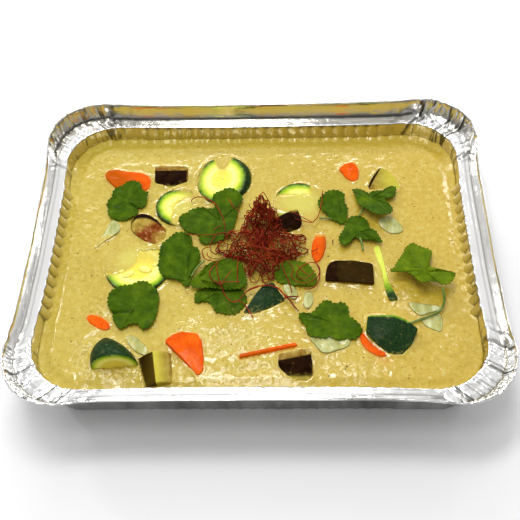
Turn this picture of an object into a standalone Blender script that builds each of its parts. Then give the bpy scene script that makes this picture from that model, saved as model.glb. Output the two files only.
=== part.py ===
"""Thai green curry in an oblong aluminium-foil tray, as closed solids in metres, +Z up.

The origin is the middle of the tray's base, on the surface the tray stands on. +X runs along the
tray and +Y runs towards its back. Each vegetable, leaf and stem is an object of its own, the sauce
is cut round what is sunk in it, and the chilli threads are one solid out to their uneven outline.
"""

import math

import bpy
import bmesh
from mathutils import Matrix, Vector

MM = 0.001

# Foil tray. Offsets are measured outwards from the line of its opening.
OPENING = (209.2 * MM, 159.2 * MM)
OPENING_CORNER = 25.0 * MM
BASE_CORNER = 15.0 * MM
WALL_DRAFT = 4.2 * MM
FLOOR_EDGE_INSET = 6.2 * MM
FLANGE_HEIGHT = 33.0 * MM
FLANGE_WIDTH = 7.4 * MM
LIP_HEIGHT = 39.8 * MM
LIP_FLARE = 0.5 * MM
HEM = 1.0 * MM
HEM_DEPTH = 1.5 * MM
FOIL = 0.6 * MM
FOOT_HEIGHT = 3.0 * MM
SHOULDER_DROP = 1.8 * MM
FLUTE_PITCH = 6.1 * MM
FLUTE_DEPTH = 2.0 * MM
FLUTES_LONG = 21
FLUTES_SHORT = 13
FOOT_FLUTE_SHARE = 0.3
CORNER_STEPS = 5
RIM_CORNER = 26.0 * MM
RIM_BULGE = 2.0 * MM
BULGE_AT_ARC_END = 0.6

# Curry.
SAUCE_LEVEL = 26.2 * MM
GAP = 0.3 * MM
SAUCE_FLOOR = FOIL + GAP
SAUCE_FOOT = FOOT_HEIGHT + 0.4 * MM

# Garnish.
LEAF_THICKNESS = 0.6 * MM
LEAF_POINTS = 36
HEAP_CENTRE = Vector((1.0, 1.0))
HEAP_PEAK = Vector((1.0, 15.0))
HEAP_HEIGHT = 25.0
HEAP_SPIRE = (11.0, 13.0)
HEAP_SHOULDER = 10.2
HEAP_HEM = 1.2
HEAP_REACH = 19.6
HEAP_LOBE = 3.0
HEAP_LEAN = 1.5
HEAP_BASE = 1.6
HEAP_HEADINGS = 20
HEAP_RINGS = (0.3, 0.58, 0.82, 1.0)


def clear_scene():
    for old in list(bpy.data.objects):
        bpy.data.objects.remove(old)


def new_collection(name):
    made = bpy.data.collections.new(name)
    bpy.context.scene.collection.children.link(made)
    return made


def principled(name, colour, roughness, metallic=0.0):
    made = bpy.data.materials.new(name)
    made.use_nodes = True
    shader = made.node_tree.nodes["Principled BSDF"]
    shader.inputs["Base Color"].default_value = (*colour, 1.0)
    shader.inputs["Roughness"].default_value = roughness
    shader.inputs["Metallic"].default_value = metallic
    return made


def add_object(name, mesh_data, material, collection):
    mesh = bpy.data.meshes.new(name)
    mesh_data.to_mesh(mesh)
    mesh_data.free()
    mesh.materials.append(material)
    made = bpy.data.objects.new(name, mesh)
    collection.objects.link(made)
    return made


clear_scene()
curry = new_collection("thai_green_curry")
cutters = new_collection("cutters")
cutters.hide_render = True

FOIL_METAL = principled("foil", (0.85, 0.86, 0.87), 0.22, 1.0)
SAUCE = principled("sauce", (0.68, 0.52, 0.16), 0.3)
CARROT = principled("carrot", (0.86, 0.20, 0.02), 0.35)
COURGETTE = principled("courgette", (0.62, 0.68, 0.22), 0.35)
AUBERGINE = principled("aubergine", (0.05, 0.02, 0.015), 0.3)
ONION = principled("onion", (0.62, 0.66, 0.40), 0.3)
CORIANDER = principled("coriander", (0.06, 0.16, 0.02), 0.45)
CHILLI = principled("chilli", (0.24, 0.02, 0.015), 0.5)


# --- Foil tray: rings of points, joined one to the next -----------------------------------------


def tray_columns(with_flutes):
    """Where the columns of every ring stand, anticlockwise from the front side's left end.

    A column is (outward direction, place along the side, is a flute's crest) on a straight side,
    or (corner's signs, angle) on a corner's arc.
    """
    columns = []
    sides = ((0, -1, FLUTES_LONG), (1, 0, FLUTES_SHORT), (0, 1, FLUTES_LONG), (-1, 0, FLUTES_SHORT))
    corners = ((1, -1), (1, 1), (-1, 1), (-1, -1))
    for quarter, (out_x, out_y, flutes) in enumerate(sides):
        if with_flutes:
            for step in range(2 * flutes + 1):
                along = (step / 2 - flutes / 2) * FLUTE_PITCH
                columns.append(("side", (out_x, out_y), along, step % 2))
        start = -90 + 90 * quarter
        for step in range(CORNER_STEPS):
            angle = math.radians(start + 90 * step / (CORNER_STEPS - 1))
            columns.append(("corner", corners[quarter], angle, 0))
    return columns


def ring_points(columns, offset, corner, height, flute=0.0, bulge=0.0):
    """One ring of the tray: the opening's outline moved out by offset, at a height."""
    half_x = OPENING[0] / 2 + offset
    half_y = OPENING[1] / 2 + offset
    points = []
    for kind, direction, place, crest in columns:
        if kind == "side":
            out_x, out_y = direction
            inset = flute * crest
            x = out_x * (half_x - inset) - out_y * place
            y = out_y * (half_y - inset) + out_x * place
        else:
            sign_x, sign_y = direction
            middle = math.sin(2 * place) ** 2
            swell = bulge * (BULGE_AT_ARC_END + (1 - BULGE_AT_ARC_END) * middle)
            x = sign_x * (half_x - corner) + (corner + swell) * math.cos(place)
            y = sign_y * (half_y - corner) + (corner + swell) * math.sin(place)
        points.append((x, y, height))
    return points


def joined_rings(rings):
    """A closed solid whose skin runs through the rings in turn, with a cap at both ends."""
    solid = bmesh.new()
    loops = [[solid.verts.new(point) for point in ring] for ring in rings]
    for low, high in zip(loops, loops[1:]):
        corners = zip(low, low[1:] + low[:1], high[1:] + high[:1], high)
        for quad in corners:
            solid.faces.new(quad)
    for end in (loops[0], loops[-1]):
        solid.faces.new(end)
    bmesh.ops.recalc_face_normals(solid, faces=solid.faces)
    return solid


def wall(share):
    """Offset and corner radius of the wall, from 0 at the base to 1 at the flange."""
    offset = -WALL_DRAFT * (1 - share)
    corner = BASE_CORNER + (OPENING_CORNER - BASE_CORNER) * share
    return offset, corner


def make_tray():
    columns = tray_columns(with_flutes=True)
    shoulder = FLANGE_HEIGHT - SHOULDER_DROP
    foot_offset, foot_corner = wall(FOOT_HEIGHT / FLANGE_HEIGHT)
    top_offset, top_corner = wall(shoulder / FLANGE_HEIGHT)
    foot_flute = FOOT_FLUTE_SHARE * FLUTE_DEPTH
    lip = FLANGE_WIDTH + LIP_FLARE
    under_hem = LIP_HEIGHT - HEM_DEPTH

    def ring(offset, corner, height, flute=0.0, bulge=0.0):
        return ring_points(columns, offset, corner, height, flute, bulge)

    inside = [
        ring(-FLOOR_EDGE_INSET, foot_corner - FLOOR_EDGE_INSET - foot_offset, FOIL),
        ring(foot_offset, foot_corner, FOOT_HEIGHT, foot_flute),
        ring(top_offset, top_corner, shoulder, FLUTE_DEPTH),
        ring(0, OPENING_CORNER, FLANGE_HEIGHT),
        ring(FLANGE_WIDTH, RIM_CORNER, FLANGE_HEIGHT, bulge=RIM_BULGE),
        ring(lip, RIM_CORNER, LIP_HEIGHT, bulge=RIM_BULGE),
    ]
    outside = [
        ring(lip + HEM, RIM_CORNER + HEM, LIP_HEIGHT - HEM_DEPTH / 2, bulge=RIM_BULGE),
        ring(lip + FOIL, RIM_CORNER + FOIL, under_hem, bulge=RIM_BULGE),
        ring(FLANGE_WIDTH + FOIL, RIM_CORNER + FOIL, FLANGE_HEIGHT - FOIL, bulge=RIM_BULGE),
        ring(FOIL, OPENING_CORNER + FOIL, FLANGE_HEIGHT - FOIL),
        ring(top_offset + FOIL, top_corner + FOIL, shoulder - FOIL / 2, FLUTE_DEPTH),
        ring(foot_offset + FOIL, foot_corner + FOIL, FOOT_HEIGHT - FOIL / 2, foot_flute),
        ring(-FLOOR_EDGE_INSET + FOIL / 2, foot_corner - FLOOR_EDGE_INSET - foot_offset, 0),
    ]
    return add_object("foil_tray", joined_rings(inside + outside), FOIL_METAL, curry)


# --- Sauce: fills the tray to its level, clear of the flutes' crests ----------------------------


def flute_inset(height):
    """How far a flute's crest stands into the tray at a height."""
    rise = (height - FOOT_HEIGHT) / (FLANGE_HEIGHT - SHOULDER_DROP - FOOT_HEIGHT)
    return FLUTE_DEPTH * (FOOT_FLUTE_SHARE + (1 - FOOT_FLUTE_SHARE) * max(0.0, rise))


def make_sauce():
    columns = tray_columns(with_flutes=False)
    rings = []
    bottom = FLOOR_EDGE_INSET + 2 * GAP
    rings.append(ring_points(columns, -bottom, BASE_CORNER - 4 * MM, SAUCE_FLOOR))
    for height in (SAUCE_FOOT, SAUCE_LEVEL):
        offset, corner = wall(height / FLANGE_HEIGHT)
        inset = flute_inset(height) + 1.5 * GAP
        rings.append(ring_points(columns, offset - inset, corner - inset, height))
    sauce = add_object("sauce", joined_rings(rings), SAUCE, curry)
    cut = sauce.modifiers.new("round what is sunk in it", "BOOLEAN")
    cut.operand_type = "COLLECTION"
    cut.collection = cutters
    cut.solver = "EXACT"
    return sauce


# --- Cut vegetables: an outline, given a thickness and set into the sauce ------------------------
# Outlines and places are in millimetres, and angles in degrees. "rise" is the height of the upper
# face's middle over the sauce. A piece is tilted first, where "pitch" lifts its back edge and
# "roll" its left edge, and then turned anticlockwise, seen from above.


def arc(radius, start, stop, steps, squash=1.0):
    """Points along an arc about the origin, both ends included."""
    angles = [math.radians(start + (stop - start) * i / steps) for i in range(steps + 1)]
    return [(radius * math.cos(a), squash * radius * math.sin(a)) for a in angles]


def oval(radius, squash=1.0, points=16):
    return arc(radius, 0, 360, points, squash)[:-1]


def half_moon(radius, steps=9):
    """Half a round slice: the cut edge lies at the back, the arc towards the front."""
    return arc(radius, 180, 360, steps)


def setting(at, rise, turn, pitch, roll):
    place = Matrix.Translation((at[0] * MM, at[1] * MM, SAUCE_LEVEL + rise * MM))
    spin = Matrix.Rotation(math.radians(turn), 4, "Z")
    back_up = Matrix.Rotation(math.radians(pitch), 4, "X")
    left_up = Matrix.Rotation(math.radians(roll), 4, "Y")
    return place @ spin @ back_up @ left_up


def grown(solid):
    """The solid swollen evenly by the gap."""
    bigger = solid.copy()
    bigger.normal_update()
    moves = [(v, v.normal * GAP * min(v.calc_shell_factor(), 2.0)) for v in bigger.verts]
    for vertex, move in moves:
        vertex.co += move
    return bigger


def add_sunk(name, solid, material, matrix):
    """Adds a piece, and its cutter for what it is sunk in."""
    bmesh.ops.recalc_face_normals(solid, faces=solid.faces)
    cutter = add_object("cut_" + name, grown(solid), material, cutters)
    cutter.matrix_world = matrix
    cutter.display_type = "WIRE"
    cutter.hide_render = True
    piece = add_object(name, solid, material, curry)
    piece.matrix_world = matrix
    return piece


def add_slab(
    name, material, outline, thick, at, rise, turn=0, pitch=0, roll=0, crown=0, shift=(0, 0), taper=1
):
    """A slice or chunk: its outline is the upper face, crowned in the middle.

    shift moves the lower face sideways, as on a slice cut on the slant, and taper scales it.
    """
    solid = bmesh.new()
    rim = [solid.verts.new((x * MM, y * MM, 0)) for x, y in outline]
    upper = solid.faces.new(rim)
    lower = bmesh.ops.extrude_face_region(solid, geom=[upper], use_keep_orig=True)
    for vertex in [e for e in lower["geom"] if isinstance(e, bmesh.types.BMVert)]:
        x, y, _ = vertex.co
        vertex.co = (x * taper + shift[0] * MM, y * taper + shift[1] * MM, -thick * MM)
    if crown:
        bmesh.ops.poke(solid, faces=[upper], center_mode="MEAN")
        solid.verts.ensure_lookup_table()
        solid.verts[-1].co.z = crown * MM
    return add_sunk(name, solid, material, setting(at, rise, turn, pitch, roll))


def add_loaf(name, material, front, back, length, at, rise, turn=0, pitch=0, roll=0, back_shift=0):
    """A chunk that runs from a front section to a back one, each a list of (x, z) points."""
    rings = []
    for section, y, shift in ((front, -length / 2, 0), (back, length / 2, back_shift)):
        rings.append([((x + shift) * MM, y * MM, z * MM) for x, z in section])
    solid = joined_rings(rings)
    return add_sunk(name, solid, material, setting(at, rise, turn, pitch, roll))


def make_carrots():
    add_slab("carrot_back_left", CARROT, half_moon(13), 7, (-72.4, 50.6), 0.9, turn=-5, roll=3)
    corner = [(-6, 1.5), (-3.5, 4.8), (2, 5.2), (4.6, 1.5), (4, -3.5), (2.6, -5.8), (-1.5, -3.5)]
    add_slab("carrot_back_right", CARROT, corner, 6, (48.2, 50.2), 1.6, pitch=4, crown=0.8, taper=0.9)
    stick = [(-3.6, -3), (-2.8, 4), (0.5, 9), (3.6, 8.6), (3.9, 1), (2, -5), (-1.6, -8.8)]
    add_slab("carrot_centre", CARROT, stick, 6, (29.4, 0.2), 1.2, roll=-6, crown=0.6)
    add_slab("carrot_left", CARROT, oval(7.6, 0.42, 12), 5, (-76.8, -42.2), 0.7, turn=-28, pitch=5)
    wedge = [(-9.4, 6.2), (-6, 9.6), (-1.8, 11.4), (4, 10.3), (7.6, 5), (9, -2), (9.2, -8), (7, -10.6)]
    add_slab("carrot_front_left", CARROT, wedge, 7, (-34.2, -59.2), 2.0, pitch=2, roll=5, crown=0.7)
    add_slab("carrot_strip", CARROT, half_moon(14), 2.2, (4.9, -57.9), 0.9, turn=13, pitch=74)
    sliver = [(-5, 6.2), (-5, 3.4), (-2.9, -0.6), (0.6, -4), (4.6, -5.8), (6, -4.8), (2.6, -2.8)]
    sliver += [(-1.4, 1.8), (-3.6, 5.4)]
    add_slab("carrot_front_right", CARROT, sliver, 4, (53.4, -54.8), 0.5)


def make_courgettes():
    add_slab(
        "courgette_round_back", COURGETTE, oval(13.2, 1.24, 20), 9, (-22, 46.2), 1.6,
        pitch=-2, roll=-7, shift=(5.5, 1.5),
    )
    add_slab("courgette_round_small", COURGETTE, oval(12.8), 7, (-43.4, 28.2), 0.2, roll=6)
    piece = arc(13.2, 40, 185, 9) + [(-8, -2.4), (-0.6, -3), (2, -6.4), (7, -6), (10, -1)]
    add_slab("courgette_half_back", COURGETTE, piece, 7, (21.4, 29), 0.4, pitch=7)
    round_left = arc(17.2, 150, 390, 16)
    add_slab("courgette_round_left", COURGETTE, round_left, 8, (-60.2, -8.4), 0.1, pitch=-3)
    front = arc(11, 0, 180, 8, 0.62) + [(-10, -7), (10, -7)]
    back = [(0.34 * x, 0.6 * z if z > 0 else z) for x, z in front]
    add_loaf(
        "courgette_wedge_left", COURGETTE, front, back, 14, (-67, -57.6), 0.1,
        turn=4, pitch=-6, back_shift=-3.5,
    )
    chunk = [(-10.2, -7.6), (-5, 1), (0, 7.4), (4.8, 8.2), (7, 4), (10.4, -0.6), (6, -3.4), (-5, -8.4)]
    add_slab(
        "courgette_chunk_centre", COURGETTE, chunk, 7, (2.6, -29.8), 2,
        pitch=15, roll=4, crown=0.6,
    )
    add_slab("courgette_strip_right", COURGETTE, half_moon(15), 2, (62, -13.2), 0.6, turn=-79, pitch=76)
    chunk = [(-9.4, 8.4), (2, 9), (12.2, 2.6), (8.6, -4.4), (3.2, -9.2), (-2, -8), (-7, -4)]
    chunk += [(-11.6, 1.6)]
    add_slab("courgette_chunk_right", COURGETTE, chunk, 8, (61.8, -51.4), 3.4, pitch=20, crown=1.2)


def make_aubergines():
    pentagon = [(-8.6, 5), (8.6, 4.8), (8.8, -1.6), (0, -5.6), (-8.6, -2.4)]
    add_slab("aubergine_back_left", AUBERGINE, pentagon, 8, (-48.4, 46.9), 2.2, pitch=26, crown=0.5)
    bean = [(-9.4, 1), (-8, 4.6), (-3, 6.6), (3.4, 6), (9, 3.4), (9.6, -2), (5.4, -6), (-2.6, -6.2)]
    bean += [(-8, -4)]
    add_slab("aubergine_left", AUBERGINE, bean, 8, (-58.2, 13.6), 1.5, turn=-36, roll=7, crown=0.5)
    chunk = [(-7, 0.6), (4.6, 6.2), (6.8, -0.4), (6.4, -3.4), (1, -6.2), (-5, -5.6)]
    add_slab("aubergine_centre", AUBERGINE, chunk, 8, (14.2, 16.2), 2.4, pitch=18, crown=0.5)
    slab = [(-11.8, -0.6), (-10, 3.8), (-7, 5.8), (10.4, 4), (11.8, -5.6), (-11.8, -4.6)]
    add_slab("aubergine_slab_right", AUBERGINE, slab, 8, (44.6, -15.2), 2.8, pitch=5, crown=0.5)
    quarter = [(-7.6, 3.8), (6.6, 6.2), (8, -4.6), (3.2, -6.4), (-3.4, -4.2), (-7.6, -0.4)]
    add_slab("aubergine_front", AUBERGINE, quarter, 8, (17.2, -65.8), 2.0, pitch=20, crown=0.5)
    section = [(-7.8, -8), (-8.2, 0), (-4, 5.6), (3, 4.8), (7, -1), (7, -8)]
    add_loaf(
        "aubergine_front_left", AUBERGINE, section, section, 14.5, (-46.6, -67.2), 0,
        turn=10, pitch=8,
    )
    flesh = [(-8.6, -6.4), (-6.4, 0), (-2, 4.6), (2.6, 3.8), (6.6, 0.6), (9, -6)]
    add_slab("aubergine_back_right", AUBERGINE, flesh, 7, (65.4, 43.4), 3, pitch=28)


def make_onions():
    petal = [(-1.6, 9.4), (1.6, 9), (3.4, 1.6), (1.4, -1.4), (-1.6, -4.4), (-5.8, -9.2), (-3.4, -2.4)]
    add_slab("onion_left", ONION, petal, 1.8, (-77.4, 10.2), 0.7, roll=-4)
    add_slab("onion_right", ONION, oval(5.6, 0.84, 10), 1.8, (67.8, 14.8), 0.4, turn=-20)
    add_slab("onion_front_left", ONION, oval(5.4, 0.34, 8), 1.6, (-57.4, -54.4), 0.5, turn=-44)
    add_slab("onion_centre", ONION, oval(4.4, 0.56, 8), 1.6, (15.6, -25.2), 0.4, turn=-66)
    add_slab("onion_small", ONION, oval(4.6, 0.5, 8), 1.6, (24.4, -29.2), 0.4, turn=82)
    fan = [(-10, 3.4), (-7.6, -1.2), (-3.4, -5), (1.6, -3.6), (9.4, 0.4), (8, 3.4)]
    add_slab("onion_under_leaf", ONION, fan, 1.8, (33.6, -53.2), 0.4)
    upper = [(-7, 2.6), (6.4, 1.4), (6.6, -1), (0, -2.6), (-4.4, -2)]
    add_slab("onion_front_right", ONION, upper, 1.6, (79, -34.6), 0.5)
    lower = [(-6, 1.6), (4.2, 2.8), (3.6, -4.8), (1, -5.2), (-3, -2)]
    add_slab("onion_corner", ONION, lower, 1.6, (82.4, -41.6), 0.4)


# --- Coriander: thin lobed leaves that lie on the sauce or stand off it -------------------------
# A lobe is (heading in degrees, reach in millimetres, half of its spread in degrees), and may end
# with how far its tip is lifted.


def leaf_edge(lobes, waist, heading):
    """How far the leaf's edge lies from its middle in the direction of heading, and its lift."""
    reach, lift = waist, 0
    for middle, length, spread, *raised in lobes:
        away = abs((heading - middle + 180) % 360 - 180) / spread
        if away < 1 and length * (1 - 0.42 * away**3) > reach:
            reach = length * (1 - 0.42 * away**3)
            lift = raised[0] * (1 - away * away) if raised else 0
    return reach, lift


def add_leaf(name, lobes, at, rise, waist=6, pitch=0, roll=0, cup=0):
    """cup lifts the middle of the leaf over its edge."""
    sheet = bmesh.new()
    rim = []
    for step in range(LEAF_POINTS):
        heading = 360 * step / LEAF_POINTS
        reach, lift = leaf_edge(lobes, waist, heading)
        angle = math.radians(heading)
        x, y = reach * math.cos(angle), reach * math.sin(angle)
        rim.append(sheet.verts.new((x * MM, y * MM, lift * MM)))
    blade = sheet.faces.new(rim)
    bmesh.ops.poke(sheet, faces=[blade])
    sheet.verts.ensure_lookup_table()
    sheet.verts[-1].co = Vector((0, 0, cup * MM))
    leaf = add_object(name, sheet, CORIANDER, curry)
    leaf.matrix_world = setting(at, rise, 0, pitch, roll)
    body = leaf.modifiers.new("thickness", "SOLIDIFY")
    body.thickness = LEAF_THICKNESS
    body.offset = -1
    return leaf


def make_leaves():
    add_leaf(
        "leaf_back_left",
        [(82, 12.5, 34), (28, 13, 28), (-14, 11, 24), (180, 10.5, 34), (235, 12, 36), (285, 12.5, 30)],
        (-70.8, 31.6), 2.3, pitch=4,
    )
    add_leaf(
        "leaf_upper_left",
        [
            (78, 19.5, 26, 4.4), (48, 16, 22, 2), (174, 20, 24), (142, 16, 22), (205, 15, 22),
            (262, 12.5, 24),
        ],
        (-23.4, 17.2), 1.1, waist=7.5,
    )
    add_leaf(
        "leaf_mid_left",
        [
            (88, 16, 30), (50, 13, 26), (5, 10.5, 28), (190, 11, 34), (140, 12.5, 28), (230, 14, 28),
            (292, 16, 26),
        ],
        (-39.8, -5.8), 1.9, waist=8,
    )
    add_leaf(
        "leaf_centre_light",
        [(165, 13, 30), (205, 14, 26), (10, 13, 30), (335, 13, 26)],
        (-20.4, -17), 2.9, waist=5, pitch=-3,
    )
    add_leaf(
        "leaf_centre_dark",
        [(165, 13.5, 24), (190, 12, 22), (285, 9.6, 34), (320, 11, 26), (5, 12, 28), (250, 8, 30)],
        (-18.4, -28.4), 1.1, waist=5,
    )
    add_leaf(
        "leaf_front_left",
        [
            (78, 12.5, 26), (125, 13, 24), (160, 13, 22), (195, 13, 22), (240, 15, 24), (295, 15.5, 24),
            (335, 12.5, 26), (25, 13, 28),
        ],
        (-61.4, -31.6), 1.9, waist=8,
    )
    add_leaf(
        "leaf_front_right",
        [
            (105, 10.8, 26), (60, 11, 24), (8, 11, 22), (336, 15.4, 20), (305, 14, 22), (270, 11, 26),
            (222, 13.4, 26), (168, 15.4, 20), (140, 11, 20),
        ],
        (34, -41.6), 1.5, waist=8,
    )
    add_leaf(
        "leaf_under_chilli",
        [(170, 10.5, 30), (210, 9, 28), (335, 11, 30), (10, 10, 28), (280, 7, 30)],
        (18.4, -15.8), 1.3, waist=5,
    )
    add_leaf(
        "leaf_right_a",
        [(92, 11, 30), (140, 9.5, 26), (50, 10, 26), (190, 7.6, 28), (288, 12.6, 24)],
        (38.2, 26.4), 1.6, waist=5, pitch=2,
    )
    add_leaf(
        "leaf_right_b",
        [(132, 12, 26), (32, 15.5, 22), (318, 14, 28), (200, 5, 30)],
        (57.2, 28.6), 4.2, waist=5, pitch=-18,
    )
    add_leaf(
        "leaf_right_c",
        [(80, 10, 28), (48, 9.6, 24), (330, 13, 22), (228, 12, 24)],
        (50.2, 9.8), 2.0, waist=4, pitch=-4,
    )
    add_leaf(
        "leaf_raised_right",
        [
            (98, 18, 20), (118, 16, 26), (145, 12, 26), (170, 12.5, 24), (194, 17.5, 14),
            (222, 9.6, 26), (260, 13, 26), (300, 16.4, 24), (332, 16.8, 20), (64, 13, 22),
        ],
        (79.6, -13.8), 5.8, waist=4, pitch=-16,
    )


def add_stem(name, route, thick):
    """A round stem along a smooth route of (x, y, height over the sauce), in millimetres."""
    path = bpy.data.curves.new(name, "CURVE")
    path.dimensions = "3D"
    path.bevel_depth = thick / 2 * MM
    path.bevel_resolution = 1
    path.use_fill_caps = True
    path.resolution_u = 4
    spline = path.splines.new("BEZIER")
    spline.bezier_points.add(len(route) - 1)
    for point, (x, y, z) in zip(spline.bezier_points, route):
        point.co = (x * MM, y * MM, SAUCE_LEVEL + z * MM)
        point.handle_left_type = "AUTO"
        point.handle_right_type = "AUTO"
    path.materials.append(CORIANDER)
    stem = bpy.data.objects.new(name, path)
    curry.objects.link(stem)
    return stem


def make_stems():
    drooping = [(86.8, -29.4, 8.6), (87.8, -33, 5.6), (86.4, -36.9, 2.8), (81.9, -39.5, 1.8)]
    drooping += [(71, -43.7, 1.3)]
    add_stem("stem_raised_right", drooping, 1.0)
    add_stem("stem_right", [(55.6, 26, 3.2), (52.6, 22.6, 2.8), (50.6, 20.6, 2.6)], 0.9)


# --- Chilli threads: one uneven heap ------------------------------------------------------------


def heap_point(heading, share):
    """A point of the heap's skin: share runs from 0 at the peak to 1 at the foot."""
    reach = HEAP_REACH + HEAP_LOBE * math.cos(4 * heading) + HEAP_LEAN * math.sin(heading)
    out = Vector((math.cos(heading), math.sin(heading))) * reach * share
    place = HEAP_PEAK.lerp(HEAP_CENTRE, share) + out
    away = place - HEAP_PEAK
    spire = HEAP_HEIGHT * math.exp(-((away.x / HEAP_SPIRE[0]) ** 2) - (away.y / HEAP_SPIRE[1]) ** 2)
    shoulder = HEAP_SHOULDER + (HEAP_HEM - HEAP_SHOULDER) * share
    height = HEAP_HEM if share == 1 else max(spire, shoulder)
    return Vector((*place, HEAP_BASE + height)) * MM + Vector((0, 0, SAUCE_LEVEL))


def make_heap():
    headings = [2 * math.pi * step / HEAP_HEADINGS for step in range(HEAP_HEADINGS)]
    rings = [[heap_point(heading, share) for heading in headings] for share in HEAP_RINGS]
    foot = [(x, y, SAUCE_LEVEL + HEAP_BASE * MM) for x, y, _ in rings[-1]]
    solid = joined_rings([foot] + rings[::-1])
    solid.faces.ensure_lookup_table()
    crown = solid.faces[-1]
    bmesh.ops.poke(solid, faces=[crown])
    solid.verts.ensure_lookup_table()
    solid.verts[-1].co = heap_point(0, 0)
    heap = add_object("chilli_threads", solid, CHILLI, curry)
    cut = heap.modifiers.new("over the aubergine", "BOOLEAN")
    cut.object = bpy.data.objects["cut_aubergine_centre"]
    cut.operation = "DIFFERENCE"
    cut.solver = "EXACT"
    return heap


make_tray()
make_carrots()
make_courgettes()
make_aubergines()
make_onions()
make_leaves()
make_stems()
make_heap()
make_sauce()
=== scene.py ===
# %% [markdown]
# # Vegetable curry in a foil tray
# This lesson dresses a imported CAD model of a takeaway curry. The frame gives the exact size and
# place of every piece, in metres, with the origin in the middle of the tray's base. Each step
# below makes one real piece or one real finish and lays it over its CAD solid. Shapes are worked
# out in millimetres and turned into metres only when they are written to a mesh.

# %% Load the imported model
import math
import random

import bmesh
import bpy
from mathutils import Matrix, Vector, kdtree, noise
from mathutils.bvhtree import BVHTree


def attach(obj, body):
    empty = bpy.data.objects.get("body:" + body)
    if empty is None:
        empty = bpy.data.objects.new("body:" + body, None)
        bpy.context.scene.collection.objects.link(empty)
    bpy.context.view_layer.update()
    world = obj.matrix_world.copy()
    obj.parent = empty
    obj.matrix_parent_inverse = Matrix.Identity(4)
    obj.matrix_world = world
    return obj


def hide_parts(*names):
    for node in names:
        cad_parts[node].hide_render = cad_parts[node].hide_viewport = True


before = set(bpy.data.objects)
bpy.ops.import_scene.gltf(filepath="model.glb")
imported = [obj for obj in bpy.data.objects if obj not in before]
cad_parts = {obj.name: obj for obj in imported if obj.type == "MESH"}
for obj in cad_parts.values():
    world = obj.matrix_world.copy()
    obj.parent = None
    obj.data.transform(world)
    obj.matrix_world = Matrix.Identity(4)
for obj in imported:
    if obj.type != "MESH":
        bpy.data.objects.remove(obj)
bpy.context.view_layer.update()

MM = 0.001

# %% [markdown]
# ## Camera
# The food is looked down on at a slant from the front, a little to the right of square. A camera
# can be aimed with a constraint, but a plain rotation keeps the slight tilt of the horizon. The
# rotation is built from a turn round Z, a tilt round X, and a roll about the line of sight.

# %% Camera
AIM = Vector((-0.9, 11.88, 0.0)) * MM
TURN, ELEVATION, ROLL = math.radians(3.66), math.radians(55.52), math.radians(-3.53)
DISTANCE = 429.5 * MM

camera_data = bpy.data.cameras.new("camera")
camera_data.sensor_width = 36.0
camera_data.lens = 55.05
camera = bpy.data.objects.new("camera", camera_data)
bpy.context.scene.collection.objects.link(camera)
facing = (
    Matrix.Rotation(TURN, 4, "Z")
    @ Matrix.Rotation(math.pi / 2 - ELEVATION, 4, "X")
    @ Matrix.Rotation(ROLL, 4, "Z")
)
camera.matrix_world = Matrix.Translation(AIM) @ facing @ Matrix.Translation((0, 0, DISTANCE))
bpy.context.scene.camera = camera
bpy.context.scene.view_settings.view_transform = "Standard"
print("camera at", [round(c, 3) for c in camera.matrix_world.translation])

# %% [markdown]
# ## A short way to write shader nodes
# A finish is a tree of nodes, and it can be wired by hand in the editor or in code. In code each
# node takes several lines, so this class adds the common ones in one call each. A value that is
# passed in may be a number, a colour, or the output of another node.

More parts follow.
